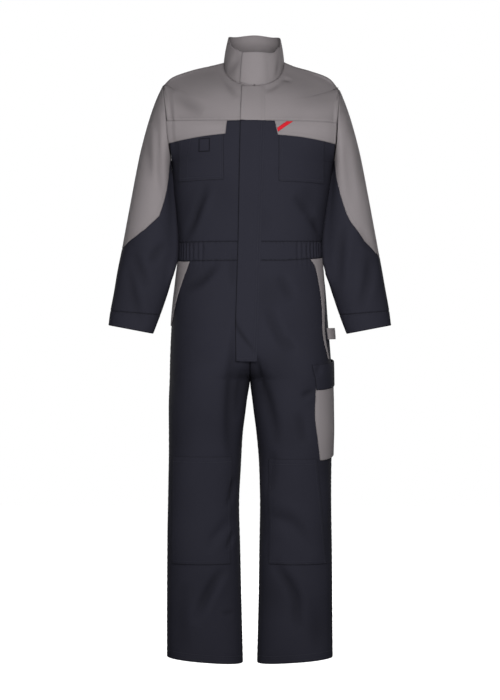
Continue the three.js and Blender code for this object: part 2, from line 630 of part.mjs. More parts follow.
function gathered(face, place, inward) {
  return (share, at) => place(share, at).addScaledVector(inward(share, at), gatherDepth(face, share, at));
}
for (const side of Object.keys(SIDES)) {
  const inward = trunkInward(side, 'front');
  const place = gathered('front', trunkPlace(side, 'front'), inward);
  add(`waistband_${side}`, panel(WAIST_ROWS, gatheredShares('front'), place, inward), NAVY);
}
const backBandShares = gatheredShares('back');
add('waistband_back', panel(
  WAIST_ROWS,
  [...backBandShares.slice(1).reverse().map((share) => -share), ...backBandShares],
  gathered('back', acrossBack(trunkPlace), acrossBack(trunkInward)),
  acrossBack(trunkInward),
), NAVY);

// Trouser legs: a front and a back panel each, from the waistband to the hem.
const CROTCH_CURVE = [-26, 0, 4, 11, 22];   // rows this far above the crotch, where its curve is tight
const RISE_BOTTOM_Z = CROTCH_Z + 38;
const LEG_ROWS = [
  ...steps(HEM_Z, CROTCH_Z + CROTCH_CURVE[0], 14).slice(0, -1),
  ...CROTCH_CURVE.map((above) => CROTCH_Z + above),
  ...steps(RISE_BOTTOM_Z, WAISTBAND_BOTTOM_Z, 7),
].map((z) => ({ z }));
for (const side of Object.keys(SIDES)) {
  for (const face of ['front', 'back']) {
    const place = trunkPlace(side, face);
    add(`leg_${face}_${side}`, panel(LEG_ROWS, TRUNK_SHARES, place, trunkInward(side, face)), NAVY);
  }
}

// Sleeves. The thickness goes towards the arm; at the armhole it goes towards its centre.
function inwardSleeve(side) {
  return (angle, row) => {
    if (row <= 0) return HOLE_CENTRE[side].clone().sub(sleeveAt(side, angle, 0)).normalize();
    const surface = (a, b) => sleeveAt(side, a, b);
    const near = Math.min(row, SLEEVE_END - ROW_STEP);
    const middle = sleeveAt(side, 0, near).add(sleeveAt(side, 180, near)).multiplyScalar(0.5);
    const away = sleeveAt(side, angle, near).sub(middle);
    return normalAt(surface, angle, near, ANGLE_STEP, ROW_STEP, away).negate();
  };
}

function sleevePlace(side) {
  const shift = point(SIDES[side] * SLEEVE_SEAM, 0, 0);
  return (angle, row) => sleeveAt(side, angle, row).add(shift);
}

const TOP_COLUMNS = 12;
const UNDER_ROWS = 8;
const ARMPIT_COLUMNS = 5;
for (const [side, split] of Object.entries(SLEEVE_SPLIT)) {
  const place = sleevePlace(side);
  const inward = inwardSleeve(side);
  const topShares = steps(-1, 1, TOP_COLUMNS);
  const angleAt = (share, index) => share * split[index].angle;
  add(`sleeve_top_${side}`, panel(
    split.map((_, index) => index),
    topShares,
    (share, index) => place(angleAt(share, index), split[index].row),
    (share, index) => inward(angleAt(share, index), split[index].row),
  ), GREY);

  // One column on each seam point, front and back, and a few more under the arm.
  const onHole = (angle) => ({ angle, row: 0 });
  const armhole = steps(-180, -split[0].angle, ARMPIT_COLUMNS).slice(0, -1).map(onHole);
  const back = split.map(({ angle, row }) => ({ angle: -angle, row }));
  const front = split.slice().reverse();
  const under = steps(split[0].angle, 180, ARMPIT_COLUMNS).slice(1, -1).map(onHole);
  const around = [...armhole, ...back, ...front, ...under];
  const rowAt = (knot, share) => mix(knot.row, CUFF_ROW, share);
  add(`sleeve_under_${side}`, panel(
    steps(0, 1, UNDER_ROWS),
    around,
    (knot, share) => place(knot.angle, rowAt(knot, share)),
    (knot, share) => inward(knot.angle, rowAt(knot, share)),
    true,
  ), NAVY);
  add(`cuff_${side}`, panel(
    [CUFF_ROW, (CUFF_ROW + SLEEVE_END) / 2, SLEEVE_END],
    around.map((knot) => knot.angle),
    place,
    inward,
    true,
  ), NAVY);
}

// Collar: from the neck seam up to its own top edge, open at the centre front under the fly.
const COLLAR_OPEN = 1.0;      // degrees on each side of the centre front
const COLLAR_SEAM = 0.45;     // above the yoke

function neckSeam(angle) {
  const side = angle < 0 ? 'right' : 'left';
  const around = Math.abs(angle);
  const face = around <= 90 ? 'front' : 'back';
  const share = (around <= 90 ? around : 180 - around) / 90;
  return chestAtShare(side, face, share, NECK_ROW);
}

const collarHeight = column(COLLAR_TOP, 'height', 'angle');
function collarTop(angle) {
  const depth = (COLLAR.backY - COLLAR.frontY) / 2;
  return point(
    COLLAR.centre + COLLAR.half * Math.sin(radians(angle)),
    (COLLAR.frontY + COLLAR.backY) / 2 - depth * Math.cos(radians(angle)),
    collarHeight(angle),
  );
}

function collarAt(angle, height) {
  const base = neckSeam(angle).add(point(0, 0, COLLAR_SEAM));
  const place = base.lerp(collarTop(angle), height);
  const swell = COLLAR.crown * Math.sin(Math.PI * height);
  return place.add(point(swell * Math.sin(radians(angle)), -swell * Math.cos(radians(angle)), 0));
}

function inwardCollar(angle, height) {
  const near = Math.min(Math.max(height, ROW_STEP), 1 - ROW_STEP);
  const away = point(Math.sin(radians(angle)), -Math.cos(radians(angle)), 0);
  const normal = normalAt(collarAt, angle, near, ANGLE_STEP, ROW_STEP, away);
  if (height <= 0) normal.setZ(0).normalize();
  return normal.negate();
}

// Its columns meet those of the yokes at the neck seam.
const COLLAR_COLUMNS = 4 * (TRUNK_SHARES.length - 1);
const collarAngles = steps(0, FULL_ROUND, COLLAR_COLUMNS)
  .map((angle) => Math.min(Math.max(angle, COLLAR_OPEN), FULL_ROUND - COLLAR_OPEN));
add('collar', panel(
  steps(0, 1, 3),
  collarAngles,
  (angle, height) => collarAt(angle > 180 ? angle - FULL_ROUND : angle, height),
  (angle, height) => inwardCollar(angle > 180 ? angle - FULL_ROUND : angle, height),
), GREY);

// The panel's own point at a place, seen along its normal, where it stands further out than the place.
const LOOK_FROM = 40;
function onPanels(names, at, out) {
  const panels = names.map((name) => suit.getObjectByName(name));
  const eye = at.clone().addScaledVector(out, LOOK_FROM);
  const hits = new THREE.Raycaster(eye, out.clone().negate()).intersectObjects(panels);
  return hits.length && hits[0].distance < LOOK_FROM ? hits[0].point : at;
}

// A piece sewn on top: its grid is made from the points of the panels under it, moved out along their
// normals. With no panels named it lies on the smooth surface itself.
function applied(panels, rows, across, surface, liftAt) {
  const outer = [];
  const inner = [];
  for (const row of rows) {
    const samples = across.map((share) => {
      const { at, out } = surface(share, row);
      return { at: panels.length ? onPanels(panels, at, out) : at, out, lift: liftAt(share, row) };
    });
    inner.push(samples.map(({ at, out, lift }) => at.clone().addScaledVector(out, lift)));
    outer.push(samples.map(({ at, out, lift }) => at.clone().addScaledVector(out, lift + PATCH_CLOTH)));
  }
  return wallGeometry(outer, inner, false);
}

const SLOPE_STEP = 6;
function onFront(x, z, bridged = false) {
  const depthAt = (dx, dz) => frontY(x + dx, z + dz, bridged);
  const slopeX = (depthAt(SLOPE_STEP, 0) - depthAt(-SLOPE_STEP, 0)) / (2 * SLOPE_STEP);
  const slopeZ = (depthAt(0, SLOPE_STEP) - depthAt(0, -SLOPE_STEP)) / (2 * SLOPE_STEP);
  const out = point(slopeX, -1, slopeZ).normalize();
  const flat = point(x, frontY(x, z, bridged), z);
  return { at: bridged ? flat : pressed(flat, out), out };
}

function patchOnFront(panels, lines, rowCount, columnCount, liftAt) {
  const names = ['topX', 'topZ', 'bottomX', 'bottomZ'];
  const line = Object.fromEntries(names.map((name) => [name, column(lines, name)]));
  const surface = (across, down) => onFront(
    mix(line.topX(across), line.bottomX(across), down),
    mix(line.topZ(across), line.bottomZ(across), down),
  );
  return applied(panels, steps(0, 1, rowCount), steps(0, lines.length - 1, columnCount), surface, liftAt);
}

for (const side of Object.keys(SIDES)) {
  const chestPanels = [`front_${side}`, `front_yoke_${side}`];
  add(`chest_pocket_${side}`, patchOnFront(chestPanels, CHEST_POCKET[side], 7, 11, () => LIFT), NAVY);
  const flapLift = (across, down) => mix(LIFT, POCKET_LIFT, smooth(down / FLAP_RISE));
  add(`chest_flap_${side}`, patchOnFront(chestPanels, CHEST_FLAP[side], 3, 8, flapLift), GREY);
  const legPanels = [`leg_front_${side}`];
  add(`knee_pocket_${side}`, patchOnFront(legPanels, KNEE_POCKET[side], 6, 11, () => LIFT), NAVY);
}
add('pen_loop', patchOnFront(['front_right'], PEN_LOOP, 1, 2, () => POCKET_LIFT), NAVY);
add('label_tab', patchOnFront(['front_left', 'front_yoke_left'], LABEL_TAB, 1, 2, () => TAB_LIFT), RED);

// Fly placket: grey over the yoke, dark below it, and a stand of its own on the collar.
function placketPart(top, bottom, rowCount) {
  const edge = columns(PLACKET, 'z');
  const surface = (across, z) => onFront(mix(edge.free(z), edge.sewn(z), across), z, true);
  return applied([], steps(bottom, top, rowCount), steps(0, 1, 4), surface, () => PLACKET_LIFT);
}
const YOKE_Z = CHEST[YOKE_ROW].frontZ;
add('placket_upper', placketPart(PLACKET[0].z, YOKE_Z + SEAM_GAP, 4), GREY);
add('placket_lower', placketPart(YOKE_Z, PLACKET.at(-1).z, 16), NAVY);
add('placket_collar', applied(
  ['collar'],
  steps(COLLAR_FLY_FOOT, 1, 4),
  steps(COLLAR_FLY.free, COLLAR_FLY.sewn, 5),
  (angle, height) => ({ at: collarAt(angle, height), out: inwardCollar(angle, height).negate() }),
  () => LIFT,
), GREY);

// Pieces that go round the side of a leg.
function onLeg(side, angle, z) {
  const surface = (a, b) => legAtAngle(side, a, b);
  const at = surface(angle, z);
  const away = point(at.x - halfSection(side, z).middle, at.y, 0);
  const out = normalAt(surface, angle, z, ANGLE_STEP, HEIGHT_STEP, away);
  return { at: pressed(at, out), out };
}

function aroundLeg(side, lines, rowCount, columnCount, liftAt, tilt = 0) {
  const edge = columns(lines, 'z');
  const surface = (across, z) => {
    const angle = mix(edge.from(z), edge.to(z), across);
    return onLeg(side, angle, z + tilt * smooth(across));
  };
  const rows = steps(lines.at(-1).z, lines[0].z, rowCount);
  const panels = [`leg_front_${side}`, `leg_back_${side}`];
  return applied(panels, rows, steps(0, 1, columnCount), surface, liftAt);
}

for (const side of Object.keys(SIDES)) {
  add(`pocket_facing_${side}`, aroundLeg(side, FACING[side], 7, 4, () => LIFT), GREY);
}
const bellows = (across) => THIGH_EDGE_LIFT + THIGH_BULGE * Math.sin(Math.PI * across);
add('thigh_pocket', aroundLeg('left', THIGH_POCKET, 6, 9, bellows, THIGH_TILT), GREY);
const overBellows = (across) => bellows(across) + PATCH_CLOTH + LIFT;
add('thigh_flap', aroundLeg('left', THIGH_FLAP, 2, 9, overBellows, THIGH_TILT), NAVY);

// Hammer loop: a strap that stands away from the left hip in an arch.
const archLift = (across) => LIFT + LOOP_STAND * Math.sin(Math.PI * across) ** LOOP_FULLNESS;
add('hammer_loop', aroundLeg('left', LOOP_LINES, 1, 10, archLift), GREY);

export default suit;
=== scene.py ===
"""A long-sleeved boiler suit in dark navy and grey twill, in its worn form with nobody in it.

Lengths are millimetres, as a pattern is drawn, and become metres when a mesh is made. +X is the wearer's
left, -Y the front, +Z up. Right and left are the wearer's.
"""

import bpy
import numpy as np
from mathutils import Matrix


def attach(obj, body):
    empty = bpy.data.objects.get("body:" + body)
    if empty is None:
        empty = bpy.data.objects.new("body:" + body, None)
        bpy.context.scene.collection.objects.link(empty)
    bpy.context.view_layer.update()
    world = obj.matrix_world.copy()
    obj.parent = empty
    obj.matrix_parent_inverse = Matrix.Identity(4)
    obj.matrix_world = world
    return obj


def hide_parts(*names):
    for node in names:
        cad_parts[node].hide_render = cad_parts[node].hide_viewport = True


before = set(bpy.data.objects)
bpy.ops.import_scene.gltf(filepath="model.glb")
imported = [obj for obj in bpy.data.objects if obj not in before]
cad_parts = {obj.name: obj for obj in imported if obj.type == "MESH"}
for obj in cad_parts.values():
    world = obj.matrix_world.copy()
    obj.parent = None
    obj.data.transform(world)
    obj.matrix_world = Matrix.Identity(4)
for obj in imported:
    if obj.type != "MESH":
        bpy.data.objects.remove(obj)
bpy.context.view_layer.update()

# Lower fronts and back. Dark twill panels hang from the yoke seam to the waistband and meet at the side
# seams. They are cut loose, so the cloth stands away from the body and falls into a few soft folds.
MM = 0.001
CLOTH = 2.0                # a panel with its turnings
SEAM_GAP = 0.1             # half the space between two panels
SEAM_ALLOWANCE = 0.5       # how far the turned-in cloth behind a seam runs on past it
SEAM_ROLL = 0.55           # how far a panel's face turns in at its seams
TUCK = 1.0                 # and how much further at an armhole
UNDERARM = -262.0
WAISTBAND_TOP = -470.0
WAISTBAND_BOTTOM = -518.0
RISE_START = -690.0
CROTCH = -822.0
HEM = -1549.0
HEM_SLANT = 7.5            # the outer end of a hem is this much higher than its middle
RISE_POWER = 1.3
WAIST_LIFT = {"right": 5.0, "left": 14.0}   # the waist seams ride up by this much at the sides
WAIST_LIFT_REACH = 45.0    # above and below the waistband's lower seam
WAIST_LIFT_FROM = {"right": 0.625, "left": 0.25}   # share of the way to the side where that starts
SIDES = {"right": -1, "left": 1}


def curve(knots, values):
    """A smooth line through the values: a cubic between each two knots, whose slope at a knot is the slope
    from the knot before it to the knot after it."""
    knots, values = np.asarray(knots, float), np.asarray(values, float)
    if knots[0] > knots[-1]:
        knots, values = knots[::-1], values[::-1]
    before = np.maximum(np.arange(len(knots)) - 1, 0)
    after = np.minimum(np.arange(len(knots)) + 1, len(knots) - 1)
    slopes = (values[after] - values[before]) / (knots[after] - knots[before])

    def at(place):
        place = np.clip(place, knots[0], knots[-1])
        i = np.clip(np.searchsorted(knots, place, side="right") - 1, 0, len(knots) - 2)
        span = knots[i + 1] - knots[i]
        t = (place - knots[i]) / span
        s = 1 - t
        return (values[i] * s * s * (1 + 2 * t) + values[i + 1] * t * t * (3 - 2 * t)
                + span * t * s * (slopes[i] * s - slopes[i + 1] * t))
    return at


def pattern(names, rows):
    """Each named column of a table as a smooth line over its first column."""
    table = np.array(rows, float)
    return {name: curve(table[:, 0], table[:, k]) for k, name in enumerate(names.split())}


BODY = pattern("z centre right left front back square", [
    (-262, 7, -203, 217, 133, 125, 2.30),
    (-330, 5, -199, 208, 130, 118, 2.35),
    (-400, 2, -192, 197, 123, 108, 2.40),
    (-470, 0, -187, 188, 118, 104, 2.40),
    (-518, 0, -188, 189, 120, 110, 2.40),
    (-564, 0, -192, 193, 126, 123, 2.40),
    (-616, 0, -198, 198, 131, 134, 2.40),
    (-668, 0, -203, 202, 134, 140, 2.35),
    (-720, 0, -206, 206, 135, 142, 2.30),
    (-772, 0, -208, 209, 133, 138, 2.25),
    (-822, 0, -209, 211, 127, 129, 2.20),
    (-876, 0, -211, 213, 118, 117, 2.20),
    (-954, 0, -211, 213, 106, 105, 2.20),
    (-1032, 0, -211, 212, 95, 95, 2.20),
    (-1136, 0, -213, 211, 84, 86, 2.20),
    (-1266, 0, -215, 213, 77, 80, 2.20),
    (-1396, 0, -216, 214, 72, 77, 2.20),
    (-1549, 0, -216, 215, 69, 74, 2.20),
])
INNER_LEG = pattern("z right left", [
    (-772, 0, 0), (-822, 0, 0), (-876, -8, 6), (-954, -18, 16), (-1032, -23, 23), (-1136, -28, 26),
    (-1266, -25, 24), (-1396, -22, 22), (-1549, -18, 18),
])

# Rows of the chest and back above the underarm: hole is the angle round the armhole at which a row ends,
# then come its middle on the front and on the back, and how far it turns on its way to the side.
CHEST = pattern("row hole centre front_z front_y back_z back_y turn square", [
    (0, 180, 7.0, -262, -133, -262, 125, 90, 2.30),
    (1, 148, 7.5, -230, -133, -226, 127, 74, 2.25),
    (2, 116, 8.0, -194, -131, -188, 128, 58, 2.20),
    (3, 90, 8.5, -164, -127, -150, 126, 50, 2.15),
    (4, 46, 9.0, -134, -119, -104, 120, 48, 2.10),
    (5, 0, 9.5, -112, -110, -66, 112, 56, 2.05),
    (6, 0, 10.0, -99, -103, -46, 106, 62, 2.00),
    (7, 0, 10.2, -87, -96, -25, 97, 70, 2.00),
    (8, 0, 10.4, -77, -90, -8, 88, 80, 2.00),
    (9, 0, 10.5, -69, -85, 8, 79, 90, 2.00),
])
YOKE_ROW = 3
SHOULDER_ROW = 5
NECK_ROW = 9
HOLE_ANGLE = curve([0, 1, 2, 3, 4, 5], [180, 148, 116, 90, 46, 0])
SHOULDER_SEAM = {
    "right": pattern("at x y z", [(0, -225, 3, -57), (1, -200, 5, -35), (2, -150, 8, -17),
                                  (3, -108, 10, -7), (4, -68.5, 11, 3)]),
    "left": pattern("at x y z", [(0, 232, 3, -69), (1, 205, 5, -38), (2, 157, 8, -19),
                                 (3, 120, 10, -8), (4, 89, 11, 4)]),
}

# The sleeve gives the armhole its outline: outer and inner line, reach to front and back, and middle.
SLEEVE = pattern("row outer outer_z inner inner_z front back middle", [
    (0, 225, -57, 130, -262, 80, 76, 3),
    (1, 241, -90, 130, -273, 79, 76, 3),
    (2, 256, -130, 130, -290, 76, 74, 2),
    (3, 271, -180, 130, -318, 73, 72, 1),
    (4, 285, -235, 130, -352, 70, 69, -1),
    (5, 297, -295, 144, -390, 67, 66, -4),
    (6, 308, -355, 158, -430, 65, 64, -7),
    (7, 319, -415, 172, -470, 63, 61, -11),
    (8, 330, -475, 187, -512, 60, 58, -15),
    (9, 341, -535, 200, -556, 56, 54, -20),
    (10, 351, -595, 214, -606, 51, 49, -26),
    (11, 360, -645, 230, -656, 45, 43, -31),
    (12, 365, -682, 250, -704, 39, 37, -35),
])
SLEEVE_CLEAR = 0.3         # between a hanging sleeve and the trunk

# Folds of the whole front and back, which run on across seams and pockets: reach to each side, depth
# (under 0 a ridge), lip of cloth pushed up beside it, and the line x, z that it follows.
FRONT_FOLDS = [
    (11, 6.5, 2.0, [(-112, -322), (-120, -352), (-134, -384), (-150, -427), (-172, -466)]),
    (6, 2.0, 0.0, [(66, -283), (70, -295), (75, -308)]),
    (12, 4.0, 1.0, [(112, -352), (139, -381), (160, -408)]),
    (12, 6.0, 1.5, [(146, -400), (170, -424), (185, -444), (195, -467)]),
    (20, 3.0, 0.0, [(150, -326), (151, -366), (162, -402)]),
    (12, 6.0, 2.0, [(-76, -520), (-100, -542), (-125, -566), (-150, -580), (-178, -592)]),
    (8, 2.5, 0.0, [(-48, -500), (-48, -543), (-46, -590)]),
    (14, 4.5, 1.0, [(70, -550), (91, -586), (112, -622)]),
    (14, 6.0, 1.5, [(42, -636), (61, -683), (81, -721), (104, -758)]),
    (9, 3.0, 0.0, [(92, -712), (104, -730), (118, -750)]),
    (15, 7.5, 0.0, [(-44, -716), (-46, -770), (-48, -835), (-51, -924), (-48, -1040)]),
    (9, 4.0, 0.0, [(-20, -790), (-27, -860), (-33, -930)]),
    (5, 3.5, 1.0, [(-44, -680), (-48, -735), (-46, -800)]),
    (5, 3.5, 0.5, [(15, -756), (21, -800), (30, -850)]),
    (15, 7.0, 0.0, [(20, -764), (28, -827), (46, -886), (60, -945), (66, -1000)]),
    (13, 4.5, 0.0, [(60, -1000), (52, -1060), (46, -1120)]),
    (8, 4.5, 1.0, [(166, -851), (148, -858), (130, -868)]),
    (12, 4.0, 0.5, [(122, -905), (130, -945), (137, -992)]),
    (7, 3.0, 0.0, [(176, -778), (171, -798), (168, -815)]),
    (8, 5.5, 1.0, [(-40, -1070), (-46, -1110), (-57, -1155)]),
    (14, 5.0, 1.0, [(-44, -1168), (-72, -1205), (-95, -1235), (-104, -1268)]),
    (7, 4.5, 1.0, [(-43, -1210), (-51, -1235), (-58, -1262)]),
    (13, 8.0, 2.5, [(-62, -1304), (-80, -1325), (-100, -1356), (-122, -1398), (-143, -1452)]),
    (14, 8.0, 2.5, [(58, -1284), (80, -1318), (106, -1356), (119, -1392), (121, -1433), (130, -1468)]),
    (20, 7.5, 2.5, [(36, -1160), (66, -1178), (100, -1190), (128, -1222), (160, -1282)]),
    (7, 2.5, 0.5, [(-72, -1420), (-56, -1424), (-40, -1424)]),
    (22, 4.0, 0.0, [(-172, -1340), (-178, -1430), (-176, -1530)]),
    (22, 4.0, 0.0, [(170, -1380), (176, -1460), (172, -1535)]),
    (11, 5.5, 1.5, [(-72, -6), (-62, -40), (-50, -72), (-33, -104)]),
    (16, 4.5, 1.5, [(-190, -80), (-160, -112), (-120, -140)]),
    (10, 5.5, 1.5, [(34, -82), (55, -72), (72, -50), (88, -30)]),
    (6, 2.5, 0.5, [(72, -50), (90, -48), (110, -54)]),
    (6, 4.0, 1.0, [(-212, -75), (-205, -130), (-198, -200), (-192, -255)]),
    (6, 3.0, 0.5, [(224, -100), (214, -160), (209, -230)]),
]
BACK_FOLDS = [
    (20, 4.5, 1.0, [(-150, -150), (-122, -230), (-110, -320)]),
    (18, 5.0, 1.0, [(158, -146), (126, -236), (112, -330)]),
    (14, 6.5, 2.0, [(-166, -366), (-112, -413), (-58, -448)]),
    (15, 6.0, 2.0, [(170, -356), (122, -406), (62, -446)]),
    (11, 4.0, 1.0, [(-24, -396), (6, -428), (30, -455)]),
    (16, 5.0, 1.0, [(-92, -548), (-70, -610), (-34, -668)]),
    (14, 4.5, 1.0, [(104, -556), (72, -612), (40, -680)]),
    (15, 7.5, 2.0, [(-26, -764), (-80, -800), (-154, -812)]),
    (15, 7.0, 2.0, [(32, -774), (84, -806), (160, -822)]),
    (13, 5.5, 1.5, [(-36, -838), (-90, -878), (-152, -896)]),
    (14, 5.0, 1.5, [(42, -852), (96, -888), (148, -914)]),
    (14, 8.0, 2.5, [(-56, -1120), (-112, -1142), (-186, -1146)]),
    (12, 6.0, 1.5, [(-48, -1186), (-108, -1198), (-170, -1190)]),
    (15, 8.0, 2.5, [(54, -1112), (112, -1138), (186, -1158)]),
    (12, 6.5, 1.5, [(50, -1172), (104, -1200), (166, -1208)]),
    (16, 5.0, 1.0, [(-84, -1290), (-110, -1350), (-118, -1440)]),
    (17, 5.0, 1.0, [(92, -1300), (118, -1360), (124, -1446)]),
]


def mix(a, b, share):
    return a + (b - a) * share


def smooth(value):
    value = np.clip(value, 0, 1)
    return value * value * (3 - 2 * value)


def points(x, y, z):
    return np.stack(np.broadcast_arrays(x, y, z), -1)


def bell(off, reach):
    return np.exp(-(off / reach) ** 2)


def unit(vectors):
    return vectors / np.maximum(np.linalg.norm(vectors, axis=-1, keepdims=True), 1e-9)


def half_section(side, z):
    """Middle, half width and first angle of one half of the trunk, or of one leg, at height z. The half's
    middle moves from the centre line at the top of the rise to the leg's own middle at the crotch."""
    centre, outer, inner = BODY["centre"](z), BODY[side](z), INNER_LEG[side](z)
    rise = np.clip((RISE_START - z) / (RISE_START - CROTCH), 0, 1) ** RISE_POWER
    half = (outer - centre) / (1 + rise)
    start = -np.degrees(np.arcsin(rise ** (BODY["square"](z) / 2)))
    leg = z < CROTCH
    return (np.where(leg, (outer + inner) / 2, centre + rise * half),
            np.where(leg, (outer - inner) / 2, half), np.where(leg, -90, start))


def body_point(side, face, angle, z):
    """A squared oval: x goes with sin(angle)^(2/square) and y with cos(angle)^(2/square). Angle 0 is
    straight to the front or back, 90 the side seam and -90 the inner leg."""
    middle, half, _ = half_section(side, z)
    power = 2 / BODY["square"](z)
    sine = np.sin(np.radians(angle))
    cosine = np.maximum(np.cos(np.radians(angle)), 0)
    x = middle + half * np.sign(sine) * np.abs(sine) ** power
    y = (-BODY["front"](z) if face == "front" else BODY["back"](z)) * cosine ** power
    slant = smooth((CROTCH - z) / (CROTCH - HEM)) * HEM_SLANT * (x - middle) / half
    near = bell(z - WAISTBAND_BOTTOM, WAIST_LIFT_REACH)
    far = np.clip((angle / 90 - WAIST_LIFT_FROM[side]) / (1 - WAIST_LIFT_FROM[side]), 0, 1)
    return points(x, y, z + slant + WAIST_LIFT[side] * near * far)


def body_across(side, face, share, z):
    """Share runs from 0 at the centre or inner leg seam to 1 at the side seam."""
    return body_point(side, face, mix(half_section(side, z)[2], 90, share), z)


def sleeve_point(side, angle, row):
    """An oval round the arm between its outer and inner points: angle 0 is its outer line, 90 the front,
    180 the inner side and 270 the back. Where the sleeve hangs, its inner side lies along the trunk."""
    tip = SHOULDER_SEAM[side]
    near = np.clip(1 - row, 0, 1)
    outer_x = SLEEVE["outer"](row) + (np.abs(tip["x"](0)) - SLEEVE["outer"](0)) * near
    outer_z = SLEEVE["outer_z"](row) + (tip["z"](0) - SLEEVE["outer_z"](0)) * near
    inner_z = SLEEVE["inner_z"](row)
    trunk = np.abs(BODY[side](inner_z)) + SLEEVE_CLEAR * np.clip(row, 0, 1)
    inner_x = np.maximum(SLEEVE["inner"](row), trunk)
    cosine, sine = np.cos(np.radians(angle)), np.sin(np.radians(angle))
    x = (outer_x + inner_x) / 2 + (outer_x - inner_x) / 2 * cosine
    z = (outer_z + inner_z) / 2 + (outer_z - inner_z) / 2 * cosine
    deep = np.where(sine > 0, SLEEVE["front"](row), SLEEVE["back"](row))
    return points(SIDES[side] * x, SLEEVE["middle"](row) - deep * sine, z)


def chest_edge(side, face, row):
    """Where a chest row ends: on the armhole up to the shoulder, then along the shoulder seam."""
    way = 1 if face == "front" else -1
    on_hole = sleeve_point(side, way * HOLE_ANGLE(row), 0 * row)
    seam = SHOULDER_SEAM[side]
    at = np.clip(row - SHOULDER_ROW, 0, 4)
    on_seam = points(seam["x"](at), seam["y"](at), seam["z"](at))
    return np.where((row <= SHOULDER_ROW)[..., None], on_hole, on_seam)


def chest_at_reach(side, face, reach, row):
    """A chest row as part of a squared oval from its middle to its edge point, reach being the share of
    the way in x. It drops or rises to the edge with the square of the angle."""
    edge = chest_edge(side, face, row)
    turn, power = np.radians(CHEST["turn"](row)), 2 / CHEST["square"](row)
    angle = np.arcsin(np.clip(reach * np.sin(turn) ** power, 0, 1) ** (1 / power))
    deep = (1 - np.maximum(np.cos(angle), 0) ** power) / (1 - np.maximum(np.cos(turn), 0) ** power)
    return points(mix(CHEST["centre"](row), edge[..., 0], reach),
                  mix(CHEST[f"{face}_y"](row), edge[..., 1], deep),
                  mix(CHEST[f"{face}_z"](row), edge[..., 2], (angle / turn) ** 2))


def chest_across(side, face, share, row):
    turn, power = np.radians(CHEST["turn"](row)), 2 / CHEST["square"](row)
    return chest_at_reach(side, face, (np.sin(share * turn) / np.sin(turn)) ** power, row)


LINE_STEPS = 4             # steps in which a fold's line is walked from point to point
FOLD_FADE = 0.9            # how early a fold runs out at its ends
LIP_OFF = 1.8              # a fold's lip stands this many reaches beside it


def fold_depth(x, z, folds):
    """How deep the folds press at x, z. With along from 0 to 1 on a fold's line and across the distance
    from it, each gives depth·sin(pi·along)^fade·exp(-(across/reach)²), less its lip beside it."""
    total = np.zeros(np.shape(x))
    for reach, depth, lip, line in folds:
        knots = np.arange(len(line))
        finer = np.linspace(0, knots[-1], LINE_STEPS * knots[-1] + 1)
        path = np.stack([curve(knots, values)(finer) for values in np.array(line, float).T], -1)
        spans = np.diff(path, axis=0)
        lengths = np.hypot(spans[:, 0], spans[:, 1])
        passed = np.concatenate([[0], np.cumsum(lengths)])
        nearest = np.full(np.shape(x), np.inf)
        along = np.zeros(np.shape(x))
        across = np.zeros(np.shape(x))
        for start, span, length, before in zip(path, spans, lengths, passed):
            dx, dz = x - start[0], z - start[1]
            t = np.clip((dx * span[0] + dz * span[1]) / length ** 2, 0, 1)
            far = np.hypot(dx - t * span[0], dz - t * span[1])
            closer = far < nearest
            nearest = np.where(closer, far, nearest)
            along = np.where(closer, (before + t * length) / passed[-1], along)
            across = np.where(closer, far * np.sign(span[0] * dz - span[1] * dx), across)
        pressed = depth * bell(across, reach) - lip * bell(across - LIP_OFF * reach, reach)
        total += np.sin(np.pi * along) ** FOLD_FADE * pressed
    return total


SLACK_WAVES = [(260, 20, 0.9), (190, 75, 0.7), (150, 130, 0.6), (115, 48, 0.45), (90, 160, 0.3)]
SLACK_SHIFT = 1.7          # radians by which each wave starts later than the one before it


def slack(x, z, turn):
    """Broad uneven swell of loose cloth, in and out: waves that cross at odd angles, each with its length,
    its direction in degrees and its height."""
    total = np.zeros(np.shape(x))
    for k, (length, way, height) in enumerate(SLACK_WAVES):
        across = x * np.cos(np.radians(way + turn)) + z * np.sin(np.radians(way + turn))
        total += height * np.sin(2 * np.pi * across / length + SLACK_SHIFT * k + turn)
    return total


def folds_round(place, middle, fade, folds, turns, swell):
    """Folds and slack of the front and of the back. Each runs out towards the middle of the depth."""
    x, y, z = np.moveaxis(place, -1, 0)
    total = np.zeros(x.shape)
    for way, of_face, turn in zip((-1, 1), folds, turns):
        share = smooth(way * (y - middle) / fade)
        total += share * (fold_depth(x, z, of_face) + swell * slack(x, z, turn))
    return total


# The armhole's outline from the front, as a distance from the centre plane at each height.
HOLE_ANGLES = np.linspace(0, 180, 25)
HOLE_X = {}
for side in SIDES:
    outline = sleeve_point(side, HOLE_ANGLES, 0 * HOLE_ANGLES)
    HOLE_X[side] = curve(outline[:, 2], np.abs(outline[:, 0]))
TRUNK_MIDDLE = 8.0         # x between the right and the left side of the trunk


def trunk_edge(x, z):
    """How far from the centre plane the armhole is, or the side under it, on the side where x is."""
    right = np.where(z > UNDERARM, HOLE_X["right"](z), -BODY["right"](z))
    left = np.where(z > UNDERARM, HOLE_X["left"](z), BODY["left"](z))
    return np.where(x < TRUNK_MIDDLE, right, left)


NECK_X, NECK_Y, NECK_HALF, NECK_DEPTH = 10.3, -3.0, 79.0, 82.0
NECK_LOW = -200.0          # the neck seam holds the cloth above this height
NECK_EASE = 0.2            # and over this share of the neck's size
STILL = 26.0               # the cloth is still within this of an armhole or of the side under the sleeve
STILL_LOW, STILL_HIGH = WAISTBAND_BOTTOM - 60, -60.0   # and between these heights
BODY_FADE = 30.0           # the folds of a face set in over this depth from the sides
BODY_TURNS = (0, 40)       # of the slack in front and behind


